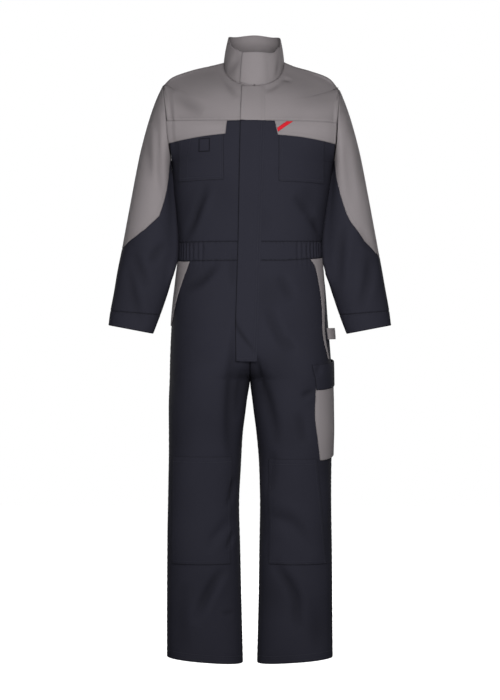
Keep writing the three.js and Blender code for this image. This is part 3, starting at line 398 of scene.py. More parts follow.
def body_relief(place):
    """Folds and slack of trunk and legs. Towards the neck seam, the armholes and the side under the
    sleeves the cloth lies still."""
    x, y, z = np.moveaxis(place, -1, 0)
    beside = (z > STILL_LOW) & (z < STILL_HIGH)
    held = np.where(beside, smooth((trunk_edge(x, z) - np.abs(x)) / STILL), 1)
    around = np.hypot((x - NECK_X) / NECK_HALF, (y - NECK_Y) / NECK_DEPTH)
    held = held * np.where(z > NECK_LOW, smooth((around - 1) / NECK_EASE), 1)
    return held * folds_round(place, 0, BODY_FADE, (FRONT_FOLDS, BACK_FOLDS), BODY_TURNS, 1)


NEAR_ENDS = (0.2, 0.5)     # of a step from each end


def spaced(count):
    """Shares from 0 to 1, closer together at both ends, where the cloth rolls into its seams."""
    near = np.array(NEAR_ENDS) / count
    return np.unique(np.concatenate([np.linspace(0, 1, count + 1), near, 1 - near]))


def joined(grid, closed):
    """The grid, with its first column once more at its end where it closes on itself."""
    return np.concatenate([grid, grid[:, :1]], 1) if closed else grid


def lengths_along(grid, axis):
    """Length from the first line of the grid to each of its points, along one of its two directions."""
    run = np.cumsum(np.linalg.norm(np.diff(grid, axis=axis), axis=-1), axis=axis)
    return np.concatenate([np.zeros_like(np.take(run, [0], axis)), run], axis)


def face_normals(grid, away, closed=False):
    """Normal at each grid point, from the differences to its neighbours, on the side that away points to."""
    wide = np.concatenate([grid[:, -1:], grid, grid[:, :1]], 1) if closed else grid
    normal = np.cross(np.gradient(wide, axis=0), np.gradient(wide, axis=1))
    normal = unit(normal[:, 1:-1] if closed else normal)
    return normal * np.sign(np.sum(normal * away))


SHARP_ANGLE = 50.0


def wall_mesh(name, outer, inner, closed, marks):
    """Closed wall between two grids of points, with its rims. Its UV map is the cloth laid flat, in
    metres, and its marks say how near a border and how deep in a fold each point is, for the painted
    shade in its colour."""
    rows, across = outer.shape[:2]

    def quads(*corners):
        """Quads from the layer, row and column of their corners, each with its point, row and column."""
        made = []
        for layer, row, column in corners:
            row, column = np.broadcast_arrays(row, column)
            made.append(np.stack([(layer * rows + row) * across + column % across, row, column], -1))
        return np.stack(made, -2).reshape(-1, 4, 3)

    i, j = np.arange(rows - 1)[:, None], np.arange(across if closed else across - 1)[None, :]
    end, side = rows - 1, across - 1
    parts = [quads((0, i, j), (0, i, j + 1), (0, i + 1, j + 1), (0, i + 1, j)),
             quads((1, i, j), (1, i + 1, j), (1, i + 1, j + 1), (1, i, j + 1)),
             quads((0, 0, j + 1), (0, 0, j), (1, 0, j), (1, 0, j + 1)),
             quads((0, end, j), (0, end, j + 1), (1, end, j + 1), (1, end, j))]
    if not closed:
        parts += [quads((0, i + 1, 0), (1, i + 1, 0), (1, i, 0), (0, i, 0)),
                  quads((0, i, side), (1, i, side), (1, i + 1, side), (0, i + 1, side))]
    corners = np.concatenate(parts)
    faces = corners[..., 0]
    places = np.concatenate([outer.reshape(-1, 3), inner.reshape(-1, 3)]) * MM
    a, b, c, d = (places[faces[:, k]] for k in range(4))
    volume = np.sum(a * np.cross(b, c)) + np.sum(a * np.cross(c, d))
    if volume < 0:
        corners, faces = corners[:, ::-1], faces[:, ::-1]

    mesh = bpy.data.meshes.new(name)
    mesh.vertices.add(len(places))
    mesh.vertices.foreach_set("co", places.ravel())
    mesh.loops.add(faces.size)
    mesh.loops.foreach_set("vertex_index", np.ascontiguousarray(faces).ravel())
    mesh.polygons.add(len(faces))
    mesh.polygons.foreach_set("loop_start", np.arange(0, faces.size, 4))
    mesh.update(calc_edges=True)
    mesh.shade_smooth()
    mesh.set_sharp_from_angle(angle=np.radians(SHARP_ANGLE))

    wide = joined(outer, closed)
    flat = np.stack([lengths_along(wide, 1), lengths_along(wide, 0)], -1) * MM
    uv = mesh.uv_layers.new(name="cloth")
    uv.data.foreach_set("uv", flat[corners[..., 1], corners[..., 2]].ravel())
    for mark, values in marks.items():
        layer = mesh.attributes.new(mark, "FLOAT", "POINT")
        layer.data.foreach_set("value", np.concatenate([values.ravel()] * 2))
    return mesh


def border_distances(grid, closed):
    """Distance of each point from the nearest border across the rows, and from the nearest along them."""
    down = lengths_along(grid, 0)
    down = np.minimum(down, down[-1:] - down)
    if closed:
        return down, np.full(down.shape, np.inf)
    side = lengths_along(grid, 1)
    return down, np.minimum(side, side[:, -1:] - side)


def pull_in(grid, by, closed):
    """Each border moves square to itself, into the panel, by so much."""
    grid = grid.copy()
    borders = [(grid[0], grid[1]), (grid[-1], grid[-2])]
    if not closed:
        borders += [(grid[:, 0], grid[:, 1]), (grid[:, -1], grid[:, -2])]
    for border, beside in borders:
        along = unit(np.gradient(border, axis=0))
        into = beside - border
        border += unit(into - along * np.sum(into * along, -1, keepdims=True)) * by
    return grid


def add(name, data):
    """A new object in the scene."""
    made = bpy.data.objects.new(name, data)
    bpy.context.collection.objects.link(made)
    return made


LEAST_AREA = 0.31          # share of its width by its length that a piece's area is at least taken as


def hang(node, outer, inner, marks, finish, smooth_grid, closed=False):
    """Puts a cloth piece in the scene in place of its node, and works out the width, length and area
    that it was cut to."""
    name = node + "_cloth"
    mesh = wall_mesh(name, outer, inner, closed, marks)
    mesh.materials.append(finish)
    piece = add(name, mesh)
    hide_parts(node)
    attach(piece, "root")
    wide = joined(smooth_grid, closed)
    width = lengths_along(wide, 1)[:, -1].max() * MM
    length = lengths_along(wide, 0)[-1].max() * MM
    down, side = np.diff(wide, axis=0)[:, :-1], np.diff(wide, axis=1)[:-1]
    area = np.linalg.norm(np.cross(down, side), axis=-1).sum() * MM * MM
    area = float(np.clip(area, LEAST_AREA * width * length, width * length))


PUCKER = 0.35              # height of the puckers beside the stitching
PUCKER_REACH = 9.0
PUCKERS_ACROSS = (2.1, 11.0)   # length of their waves and of the drift in it, each over 2 pi
PUCKERS_DOWN = (2.2, 12.0)
PLAIN_EDGE = 0.5           # a border has no puckers
ROLL_REACH = 1.7
# painted shade along a seam reaches this far
DARK_REACH = 1.8
TUCK_REACH = 2.6
# painted shadow at an armhole tuck: its strength and its reach
TUCK_DARK = 1.6
TUCK_DARK_REACH = 2.2
DEEP_FOLD = 9.0            # a fold this deep gets the full painted shade
faces = {}                 # outer points and normals of each piece, for its stitching


def puckers(along, off, length, drift):
    return np.sin(along / length + 2 * np.sin(along / drift)) * bell(off, PUCKER_REACH)


def panel(node, grid, away, finish, relief=body_relief, closed=False, gather=0, tuck=None, line=1.0):
    """A panel cut and sewn: its surface pressed in by its folds, its borders rolled into the seams with
    small puckers from the stitching, and its thickness inside. Its colour gets painted shade along its
    borders and deep in its folds. Tuck names the border, start or side, that is drawn deeper in at the
    armhole, with painted shadow there, and line says how deep its seams are and how much painted shade
    they get."""
    normal = face_normals(grid, away, closed)
    grid = pull_in(grid, SEAM_GAP, closed)
    deep = relief(grid) + gather
    down, side = border_distances(grid, closed)
    near = np.minimum(down, side)
    u, v = lengths_along(grid, 1), lengths_along(grid, 0)
    pucker = PUCKER * (puckers(u, down, *PUCKERS_ACROSS) + puckers(v, side, *PUCKERS_DOWN))
    roll = line * SEAM_ROLL * bell(near, ROLL_REACH)
    # seam is painted shade along the borders, and the tuck adds painted shadow at the armhole
    seam = line * bell(near, DARK_REACH)
    if tuck:
        to_hole = side if tuck == "side" else v
        roll = roll + TUCK * bell(to_hole, TUCK_REACH)
        seam = seam + TUCK_DARK * bell(to_hole, TUCK_DARK_REACH)
    flat = grid - normal * deep[..., None]
    outer = flat - normal * (roll + pucker * (near > PLAIN_EDGE))[..., None]
    inner = pull_in(flat - normal * (CLOTH + TUCK * bool(tuck)), -SEAM_ALLOWANCE, closed)
    # the trough mark is painted shade deep in the folds
    marks = {"seam": seam, "trough": np.clip(deep / DEEP_FOLD, 0, 1)}
    hang(node, outer, inner, marks, finish, grid, closed)
    faces[node] = outer, face_normals(outer, away, closed)


def feed(tree, made, inputs):
    """Sets what comes in at a node's sockets, a value or another node's output, and returns the node."""
    for socket, value in inputs.items():
        if isinstance(value, bpy.types.NodeSocket):
            tree.links.new(value, made.inputs[socket])
        else:
            made.inputs[socket].default_value = value
    return made


def maths(tree, operation, *values):
    """The result of one calculation with numbers or other nodes' outputs."""
    made = tree.nodes.new("ShaderNodeMath")
    made.operation = operation
    return feed(tree, made, dict(enumerate(values))).outputs[0]


def vector_maths(tree, operation, inputs):
    made = tree.nodes.new("ShaderNodeVectorMath")
    made.operation = operation
    return feed(tree, made, inputs)


def blend(tree, share, first, second):
    """A colour from the first to the second."""
    made = tree.nodes.new("ShaderNodeMix")
    made.data_type = "RGBA"
    return feed(tree, made, {"Factor": share, "A": first, "B": second}).outputs["Result"]


def noise(tree, place, scale, detail=2):
    made = tree.nodes.new("ShaderNodeTexNoise")
    return feed(tree, made, {"Vector": place, "Scale": scale, "Detail": detail}).outputs["Fac"]


def spread(tree, share, low, high):
    """A share from 0 to 1 as a value from low to high."""
    made = tree.nodes.new("ShaderNodeMapRange")
    return feed(tree, made, {"Value": share, "To Min": low, "To Max": high}).outputs["Result"]


def new_group(name, inputs, outputs):
    """A node group with sockets of the kinds given, and the nodes at its two ends."""
    group = bpy.data.node_groups.new(name, "ShaderNodeTree")
    for way, sockets in (("INPUT", inputs), ("OUTPUT", outputs)):
        for socket, kind in sockets.items():
            group.interface.new_socket(name=socket, in_out=way, socket_type="NodeSocket" + kind)
    return group, group.nodes.new("NodeGroupInput"), group.nodes.new("NodeGroupOutput")


def new_material(name, values):
    """A material whose surface has these values, with its tree and its surface."""
    material = bpy.data.materials.new(name)
    material.use_nodes = True
    tree = material.node_tree
    return material, tree, feed(tree, tree.nodes["Principled BSDF"], values)


TWILL_PITCH = 0.0013
RIBS = [(0.89, -0.45, 0.38), (0.45, 1.9, 0.14)]   # direction across and along the cloth, and height
SLUB_SCALE = 900
# painted light on the ribs and painted shade in the gaps, as factors on the colour
RIB_LIGHT_AND_SHADE = (0.9, 1.1)


def twill_group():
    """Twill weave from the cloth's own UV map: ribs that climb at 63 degrees, crossed by the yarns, with
    a height for the bump and a tone of painted light on the ribs and painted shade in the gaps."""
    group, entry, leave = new_group("Twill weave", {"Pitch": "Float"}, {"Height": "Float", "Tone": "Float"})
    uv = group.nodes.new("ShaderNodeUVMap")
    uv.uv_map = "cloth"
    waves = []
    for across, along, share in RIBS:
        slant = vector_maths(group, "DOT_PRODUCT", {0: uv.outputs["UV"], 1: (across, along, 0)})
        turns = maths(group, "DIVIDE", slant.outputs["Value"], entry.outputs["Pitch"])
        wave = maths(group, "SINE", maths(group, "MULTIPLY", turns, 2 * np.pi))
        waves.append(maths(group, "MULTIPLY", wave, share))
    slub = noise(group, uv.outputs["UV"], SLUB_SCALE)
    height = maths(group, "ADD", maths(group, "ADD", *waves), slub)
    feed(group, leave, {"Height": height, "Tone": spread(group, height, *RIB_LIGHT_AND_SHADE)})
    return group


DYE_PATCHES = (5, 3)       # scale and detail of the broad patches
DYED_ROUGHNESS = (0.78, 0.92)


def dye_and_shade_group():
    """Dyed cloth: two near shades in broad patches, with painted shade along its seams and edges and deep
    in its folds.
    """
    group, entry, leave = new_group("Dye and painted shade", {
        "Shade": "Color", "Other shade": "Color", "Tone": "Float", "Painted seam shade": "Float", "Painted fold shade": "Float",
    }, {"Color": "Color", "Roughness": "Float"})
    place = group.nodes.new("ShaderNodeTexCoord").outputs["Object"]
    patches = noise(group, place, *DYE_PATCHES)
    dyed = blend(group, patches, entry.outputs["Shade"], entry.outputs["Other shade"])
    light = entry.outputs["Tone"]
    # The seam and trough marks darken the colour: painted shade and shadow along seams and edges, painted
    # shade deep in folds.
    for mark, amount in (("seam", "Painted seam shade"), ("trough", "Painted fold shade")):
        attribute = group.nodes.new("ShaderNodeAttribute")
        attribute.attribute_name = mark
        dark = maths(group, "MULTIPLY", attribute.outputs["Fac"], entry.outputs[amount])
        light = maths(group, "MULTIPLY", light, maths(group, "SUBTRACT", 1, dark))
    shaded = vector_maths(group, "SCALE", {0: dyed, "Scale": light}).outputs["Vector"]
    feed(group, leave, {"Color": shaded, "Roughness": spread(group, patches, *DYED_ROUGHNESS)})
    return group


TWILL = twill_group()
DYE_AND_PAINTED_SHADE = dye_and_shade_group()


def twill(name, shade, other, painted_seam_shade, painted_fold_shade, sheen=0.0):
    """A dyed cotton twill, dull and rough, with its ribs in the bump and painted shade in its seams and
    deep folds. Sheen gives it a faint nap.
    """
    material, tree, surface = new_material(name, {
        "Specular IOR Level": 0.1, "Sheen Weight": sheen, "Sheen Roughness": 0.6})
    weave, dye_shade_node = tree.nodes.new("ShaderNodeGroup"), tree.nodes.new("ShaderNodeGroup")
    weave.node_tree = TWILL
    dye_shade_node.node_tree = DYE_AND_PAINTED_SHADE
    feed(tree, weave, {"Pitch": TWILL_PITCH})
    feed(tree, dye_shade_node, {"Shade": (*shade, 1), "Other shade": (*other, 1), "Tone": weave.outputs["Tone"],
                     "Painted seam shade": painted_seam_shade, "Painted fold shade": painted_fold_shade})
    bump = feed(tree, tree.nodes.new("ShaderNodeBump"), {
        "Strength": 0.5, "Distance": 0.0002, "Height": weave.outputs["Height"]})
    feed(tree, surface, {"Base Color": dye_shade_node.outputs["Color"], "Roughness": dye_shade_node.outputs["Roughness"],
                         "Normal": bump.outputs["Normal"]})
    return material


# Each twill's last numbers say how much painted shade its seams and its folds get.
NAVY = twill("navy twill", (0.0178, 0.0180, 0.0268), (0.0205, 0.0202, 0.0288), 0.4, 0.35)

HALF_COLUMNS = 80
LOWER_ROWS = mix(WAISTBAND_TOP, UNDERARM, spaced(46))[:-1]
UPPER_ROWS = mix(0, YOKE_ROW, spaced(26))


def trunk_half(side, face, heights, rows, shares):
    """Grid of one half of a trunk panel: heights below the underarm, then chest rows above it."""
    parts = []
    if len(heights):
        parts.append(body_across(side, face, shares[None, :], heights[:, None]))
    if len(rows):
        share, row = np.broadcast_arrays(shares[None, :], rows[:, None])
        parts.append(chest_across(side, face, share, row))
    return np.concatenate(parts)


def whole_back(heights, rows, shares):
    """The right half from the side to the centre, then the left half from there to the side."""
    right = trunk_half("right", "back", heights, rows, shares)[:, ::-1]
    left = trunk_half("left", "back", heights, rows, shares)
    return np.concatenate([right, left[:, 1:]], 1)


FRONTWARD, BACKWARD = np.array([0, -1, 0.0]), np.array([0, 1, 0.0])
SHARES = spaced(HALF_COLUMNS)
CENTRE_SHARES = SHARES[(SHARES == 0) | (SHARES > NEAR_ENDS[-1] / HALF_COLUMNS)]   # none closer at the centre
NO_ROWS = np.array([])
for side in SIDES:
    grid = trunk_half(side, "front", LOWER_ROWS, UPPER_ROWS, SHARES)
    panel(f"front_{side}", grid, FRONTWARD, NAVY, tuck="side")
grid = whole_back(LOWER_ROWS, UPPER_ROWS, CENTRE_SHARES)
panel("back", grid, BACKWARD, NAVY)

# Yokes. Grey twill over the shoulders, front and back, sewn to the lower panels and at the shoulders.
# The front yokes end just over the chest pockets.
GREY = twill("grey twill", (0.212, 0.192, 0.197), (0.232, 0.212, 0.219), 0.25, 0.30)
# The yokes' rows are no closer at the shoulder.
YOKE_ROWS = np.concatenate([mix(YOKE_ROW, SHOULDER_ROW, spaced(28)[:-3]),
                            mix(SHOULDER_ROW, NECK_ROW, np.delete(spaced(40), [1, 2]))])
EASE_PASSES = 160
EASE_DOWN, EASE_SIDE = 20.0, 12.0   # it sets in over these distances from the borders


def eased(grid, away):
    """Rounds off the ridge that the corner at the shoulder leaves along a row: each row is averaged with
    its neighbours again and again, and only the move square to the cloth is kept."""
    soft = grid.copy()
    for _ in range(EASE_PASSES):
        soft[1:-1] = (soft[:-2] + 2 * soft[1:-1] + soft[2:]) / 4
    normal = face_normals(grid, away)
    down, side = border_distances(grid, False)
    share = smooth(down / EASE_DOWN) * smooth(side / EASE_SIDE)
    return grid + normal * (np.sum((soft - grid) * normal, -1) * share)[..., None]


for side in SIDES:
    grid = eased(trunk_half(side, "front", NO_ROWS, YOKE_ROWS, SHARES), FRONTWARD)
    panel(f"front_yoke_{side}", grid, FRONTWARD, GREY, tuck="side")
grid = eased(whole_back(NO_ROWS, YOKE_ROWS, CENTRE_SHARES), BACKWARD)
panel("back_yoke", grid, BACKWARD, GREY)

# Waistband. A dark band with elastic at the sides and across the back, which gathers the cloth of the
# band and, less and less, that above and below it.
GATHERS = {"front": (0.375, 10), "back": (0.0, 16)}   # from this share on, and the number of waves
GATHER_DEPTH = 2.6
GATHER_FADE = 38.0         # the waves run out this far above and below the band
GATHER_SEAM = 0.45         # part of the depth that is left where the band is sewn on
GATHER_RISE = 9.0          # the waves reach their depth this far from the band's edges
GATHER_UNEVEN = 0.2        # part of the depth that comes and goes
GATHER_RHYTHM = 23.0


def gathers(face, shares, z):
    """Upright waves sin² round the waist, deepest in the middle of the band, of uneven depth."""
    start, waves = GATHERS[face]
    share = np.abs(shares)[None, :]
    turn = np.pi * waves * (share - start) / (1 - start)
    uneven = 1 - GATHER_UNEVEN + GATHER_UNEVEN * np.sin(GATHER_RHYTHM * shares)[None, :]
    wave = np.where(share < start, 0, np.sin(turn) ** 2) * uneven
    middle = (WAISTBAND_TOP + WAISTBAND_BOTTOM) / 2
    off = np.abs(z[:, None] - middle) - (WAISTBAND_TOP - middle)
    inside = mix(GATHER_SEAM, 1, smooth(-off / GATHER_RISE))
    outside = GATHER_SEAM * (1 - smooth(off / GATHER_FADE))
    return GATHER_DEPTH * wave * np.where(off < 0, inside, outside)


BAND_ROWS = mix(WAISTBAND_BOTTOM, WAISTBAND_TOP, spaced(11))
BAND_SHARES = spaced(128)
BAND_BACK_SHARES = np.concatenate([-BAND_SHARES[:0:-1], BAND_SHARES])
for side in SIDES:
    grid = trunk_half(side, "front", BAND_ROWS, NO_ROWS, BAND_SHARES)
    panel(f"waistband_{side}", grid, FRONTWARD, NAVY,
          gather=gathers("front", BAND_SHARES, BAND_ROWS))
grid = whole_back(BAND_ROWS, NO_ROWS, BAND_SHARES)
panel("waistband_back", grid, BACKWARD, NAVY, gather=gathers("back", BAND_BACK_SHARES, BAND_ROWS))

# Trouser legs. A front and a back panel each, from the waistband to a stitched hem, joined at the side
# seam, the inner leg and, above the crotch, the centre seam.
LEG_ROWS = mix(HEM, WAISTBAND_BOTTOM, spaced(216))
for side in SIDES:
    for face, away in (("front", FRONTWARD), ("back", BACKWARD)):
        grid = trunk_half(side, face, LEG_ROWS, NO_ROWS, SHARES)
        panel(f"leg_{face}_{side}", grid, away, NAVY, gather=gathers(face, SHARES, LEG_ROWS))

# Sleeves. A grey upper piece ends in a point at the elbow, and a dark lower piece wraps the forearm and
# runs up under the arm. A dark cuff closes each one.
CUFF_ROW = 11
SLEEVE_END = 12
SLEEVE_SEAM = 0.4
SPLIT_SEAM = {   # row and angle of the seam between the two colours, at its knots
    "right": [(0, 153), (1, 150), (2, 144), (3, 139), (4, 130), (5, 118), (6, 106), (6.5, 92), (7, 77),
              (7.5, 56), (8, 26), (8.12, 9)],
    "left": [(0, 153), (1, 148), (2, 141), (3, 132), (4, 120), (5, 107), (6, 94), (6.6, 84), (7, 74),
             (7.7, 56), (8.3, 30), (8.5, 9)],
}
SLEEVE_FRONT_FOLDS = [
    (9, 4.5, 1.0, [(-240, -140), (-238, -200), (-235, -250), (-228, -310), (-221, -360)]),
    (12, 3.5, 1.0, [(-266, -170), (-264, -240), (-255, -320)]),
    (14, 5.0, 1.5, [(-304, -490), (-286, -536), (-262, -590)]),
    (12, 4.0, 1.0, [(-314, -520), (-303, -592), (-288, -644), (-272, -690)]),
    (12, 4.5, 1.0, [(-212, -470), (-238, -495), (-262, -532)]),
    (12, -3.5, 0.0, [(266, -430), (256, -495), (248, -546), (243, -620)]),
    (13, 5.5, 1.5, [(310, -490), (304, -554), (295, -592), (279, -650)]),
    (12, 5.0, 0.5, [(240, -420), (230, -500), (227, -590)]),
    (12, 3.5, 1.0, [(244, -180), (250, -290), (262, -380)]),
    (12, 3.5, 1.0, [(280, -430), (298, -466), (320, -496)]),
]
SLEEVE_BACK_FOLDS = [
    (13, 6.0, 1.5, [(-204, -470), (-258, -500), (-326, -516)]),
    (12, 5.0, 1.5, [(-224, -534), (-272, -560), (-338, -566)]),
    (14, 4.5, 1.0, [(-250, -200), (-244, -290), (-226, -380)]),
    (13, 6.0, 1.5, [(206, -462), (262, -496), (328, -520)]),
    (12, 5.5, 1.5, [(226, -540), (276, -562), (340, -576)]),
    (14, 4.5, 1.0, [(256, -190), (250, -286), (232, -372)]),
]

INNER_MIDDLE = curve([-262, -318, -390, -470, -556, -656, -704], [3, 1, -4, -11, -20, -31, -35])
LAP = 7.5                  # how far the sleeve's inner front leans over the side of the trunk
LAP_BESIDE = 22.0
LAP_REACH = 12.0
LAP_OFF, LAP_EASE = 30.0, 16.0           # there is none this far from the trunk
LAP_TOP, LAP_TOP_EASE = -272.0, 30.0
LAP_END, LAP_END_EASE = -600.0, 60.0
FREE_BELOW = -545.0        # a sleeve is clear of the trunk from here down
SLEEVE_DEPTH = -10.0       # y between its front and its back
SLEEVE_FADE = 25.0
SLEEVE_TURNS = (15, 70)
SLEEVE_SWELL = 0.8


def sleeve_relief(place):
    """Folds and slack of a sleeve: none at the armhole or where it lies against the trunk, over whose
    side its front laps a little."""
    x, y, z = np.moveaxis(place, -1, 0)
    clear = np.abs(x) - trunk_edge(x, z)
    free = np.where(z > FREE_BELOW, smooth(clear / STILL), 1)
    lap = bell(y - INNER_MIDDLE(z) + LAP_BESIDE, LAP_REACH) * smooth((LAP_OFF - clear) / LAP_EASE)
    lap = lap * smooth((LAP_TOP - z) / LAP_TOP_EASE) * smooth((z - LAP_END) / LAP_END_EASE)
    folds = (SLEEVE_FRONT_FOLDS, SLEEVE_BACK_FOLDS)
    return free * folds_round(place, SLEEVE_DEPTH, SLEEVE_FADE, folds, SLEEVE_TURNS, SLEEVE_SWELL) - LAP * lap


def from_arm(side, angle, row):
    """The way out from the middle of the arm."""
    middle = (sleeve_point(side, 0 * angle, row) + sleeve_point(side, 0 * angle + 180, row)) / 2
    return sleeve_point(side, angle, row) - middle


def sleeve_piece(node, side, angle, row, finish, closed=False, tuck=None):
    grid = sleeve_point(side, angle, row) + np.array([SIDES[side] * SLEEVE_SEAM, 0, 0])
    panel(node, grid, from_arm(side, angle, row), finish, sleeve_relief, closed, tuck=tuck)


ROW_LENGTH = 60.0          # about, and that of a radian of the angle round the sleeve
RADIAN_LENGTH = 65.0
LEAST_STEP = 0.6
TOP_STEP, UNDER_STEP = 5.0, 7.0   # of the upper sleeve's rows and the lower one's columns


def seam_steps(knots, spacing):
    """Places along a list of row and angle knots, about spacing apart."""
    rows, angles = np.array(knots, float).T
    lengths = np.hypot(np.diff(rows) * ROW_LENGTH, np.radians(np.diff(angles)) * RADIAN_LENGTH)
    passed = np.concatenate([[0], np.cumsum(lengths)])
    places = np.linspace(0, passed[-1], int(passed[-1] / spacing) + 1)
    places = np.unique(np.concatenate([places, passed]))
    places = places[np.concatenate([[True], np.diff(places) > LEAST_STEP])]
    return np.interp(places, passed, rows), np.interp(places, passed, angles)


CUFF_ROWS = mix(CUFF_ROW, SLEEVE_END, spaced(11))[:, None]
CUFF_ANGLES = np.linspace(-180, 180, 121)[None, :-1]
for side, knots in SPLIT_SEAM.items():
    seam_rows, seam_angles = seam_steps(knots, TOP_STEP)
    share, row = np.broadcast_arrays(mix(-1, 1, spaced(90))[None, :], seam_rows[:, None])
    sleeve_piece(f"sleeve_top_{side}", side, share * seam_angles[:, None], row, GREY,
                 tuck="start")

    loop = [(0, -180)] + [(r, -a) for r, a in knots] + [(r, a) for r, a in reversed(knots)] + [(0, 180)]
    seam_rows, seam_angles = seam_steps(loop, UNDER_STEP)
    row = mix(seam_rows[None, :-1], CUFF_ROW, spaced(92)[:, None])
    angle = np.broadcast_to(seam_angles[None, :-1], row.shape)
    sleeve_piece(f"sleeve_under_{side}", side, angle, row, NAVY, True)

    angle, row = np.broadcast_arrays(CUFF_ANGLES, CUFF_ROWS)
    sleeve_piece(f"cuff_{side}", side, angle, row, NAVY, True)

# Collar. A high stand of grey twill, sewn to the yokes at the neck seam, higher at the back than in
# front, and open at the centre front under the fly.
COLLAR_CENTRE, COLLAR_HALF, COLLAR_FRONT, COLLAR_BACK = 12.0, 68.0, -88.0, 54.0
COLLAR_TOP = curve([-225, -180, -135, -90, -63, -42, -26, 0, 44, 63, 84, 100, 140, 180, 220],
                   [73, 81, 73, 63, 37, 24, 16.5, 15, 16.5, 31, 44, 63, 73, 81, 73])   # at angles round it
COLLAR_CROWN = 1.5
COLLAR_OPEN = 1.0
COLLAR_SEAM = -0.4


def neck_seam(angle):
    """The neck edge of the yokes at an angle round the collar, 0 at the centre front."""
    around = np.abs(angle)
    front = around <= 90
    share = np.where(front, around, 180 - around) / 90
    row = np.full(share.shape, float(NECK_ROW))
    place = {(s, f): chest_across(s, f, share, row) for s in SIDES for f in ("front", "back")}
    right = np.where(front[..., None], place["right", "front"], place["right", "back"])
    left = np.where(front[..., None], place["left", "front"], place["left", "back"])
    return np.where((angle < 0)[..., None], right, left)


def collar_point(angle, height):
    """Straight lines from the neck seam to an oval top edge, swelled outwards by crown·sin(pi·height)."""
    sine, cosine = np.sin(np.radians(angle)), np.cos(np.radians(angle))
    middle, depth = (COLLAR_FRONT + COLLAR_BACK) / 2, (COLLAR_BACK - COLLAR_FRONT) / 2
    top = points(COLLAR_CENTRE + COLLAR_HALF * sine, middle - depth * cosine, COLLAR_TOP(angle))
    base = neck_seam(angle) + np.array([0, 0, COLLAR_SEAM])
    swell = COLLAR_CROWN * np.sin(np.pi * height)
    return mix(base, top, height[..., None]) + points(swell * sine, -swell * cosine, 0 * swell)


COLLAR_FOLDS = [   # in degrees round the collar and hundredths of its height
    (9, 3.0, 1.0, [(-62, 0), (-52, 30), (-40, 62), (-34, 95)]),
    (7, 2.0, 0.5, [(48, 5), (56, 40), (60, 80)]),
    (12, 2.5, 0.5, [(140, 20), (165, 38), (200, 30)]),
]


def turned(angle):
    return np.where(angle > 180, angle - 360, angle)


collar_angle, collar_height = np.broadcast_arrays(
    mix(COLLAR_OPEN, 360 - COLLAR_OPEN, spaced(150))[None, :], spaced(22)[:, None])
COLLAR_LINE = 0.4


def collar_relief(_):
    return fold_depth(turned(collar_angle), 100 * collar_height, COLLAR_FOLDS)


grid = collar_point(turned(collar_angle), collar_height)
away = points(np.sin(np.radians(collar_angle)), -np.cos(np.radians(collar_angle)), 0 * collar_angle)
panel("collar", grid, away, GREY, collar_relief, line=COLLAR_LINE)

# Pieces sewn flat on the fronts follow the panel under them: its own surface with its folds, moved out.
PATCH_CLOTH = 1.6
LIFT = 0.95                # space under a patch
SLOPE_STEP = 6.0           # to each side of a point, for the slope of the front there
CHEST_MIDDLE = 8.5         # x between the two fronts above the underarm
HALVINGS = 24              # of the chest rows, to find the one at a height


def front_depth(x, z, bridged=False):
    """y of the whole front at x, z. Above the underarm the chest row at that height is found by halving.
    Bridged goes straight across the rise."""
    result = np.zeros(np.shape(x))
    for side in SIDES:
        middle, half, _ = half_section(side, z)
        if bridged:
            middle, half = BODY["centre"](z), BODY[side](z) - BODY["centre"](z)
        reach = np.clip(np.abs((x - middle) / half), 0, 1)
        square = BODY["square"](z)
        low_y = -BODY["front"](z) * np.maximum(1 - reach ** square, 0) ** (1 / square)
        low, high = np.zeros(np.shape(x)), np.full(np.shape(x), float(NECK_ROW))
        for _ in range(HALVINGS):
            row = (low + high) / 2
            centre = CHEST["centre"](row)
            share = np.clip((x - centre) / (chest_edge(side, "front", row)[..., 0] - centre), 0, 1)
            found = chest_at_reach(side, "front", share, row)
            under = found[..., 2] < z
            low, high = np.where(under, row, low), np.where(under, high, row)
        y = np.where(z <= UNDERARM, low_y, found[..., 1])
        centre = np.where(z <= UNDERARM, BODY["centre"](z), CHEST_MIDDLE)
        mine = x < centre if side == "right" else x >= centre
        result = np.where(mine, y, result)
    return result


def on_front(x, z, bridged=False):
    """Place and normal on the front at x, z, the normal from the slopes of the front to both sides."""
    def slope(dx, dz):
        ahead = front_depth(x + dx, z + dz, bridged)
        return (ahead - front_depth(x - dx, z - dz, bridged)) / (2 * SLOPE_STEP)
    normal = points(slope(SLOPE_STEP, 0), -1.0, slope(0, SLOPE_STEP))
    normal /= np.linalg.norm(normal, axis=-1, keepdims=True)
    place = points(x, front_depth(x, z, bridged), z)
    if not bridged:
        place = place - normal * body_relief(place)[..., None]
    return place, normal


FREE_LINE = 2.4            # a free edge gets a thin line of painted shadow
EDGE_ROLL = 0.6
EDGE_REACH = 1.8
# painted shade along a patch's edges reaches this far
EDGE_DARK_REACH = 1.5
THINNEST = 0.3


def patch(node, place, normal, lift, finish, under, full=1.0, line=1.0, mark=0):
    """A piece sewn on top: the places under it moved out by lift, with its edges pressed down by the
    stitching, and its own thickness, of which full is the share at each point. Line is how much painted
    shade its edges get, and mark how much painted shade each point gets besides."""
    near = np.minimum(*border_distances(place, False))
    inner = place + normal * np.broadcast_to(lift, near.shape)[..., None]
    thickness = np.maximum(PATCH_CLOTH * full - EDGE_ROLL * bell(near, EDGE_REACH), THINNEST)
    outer = inner + normal * thickness[..., None]
    marks = {"seam": line * bell(near, EDGE_DARK_REACH) + mark, "trough": np.zeros(near.shape)}
    hang(node, outer, inner, marks, finish, place)
    faces[node] = outer, normal


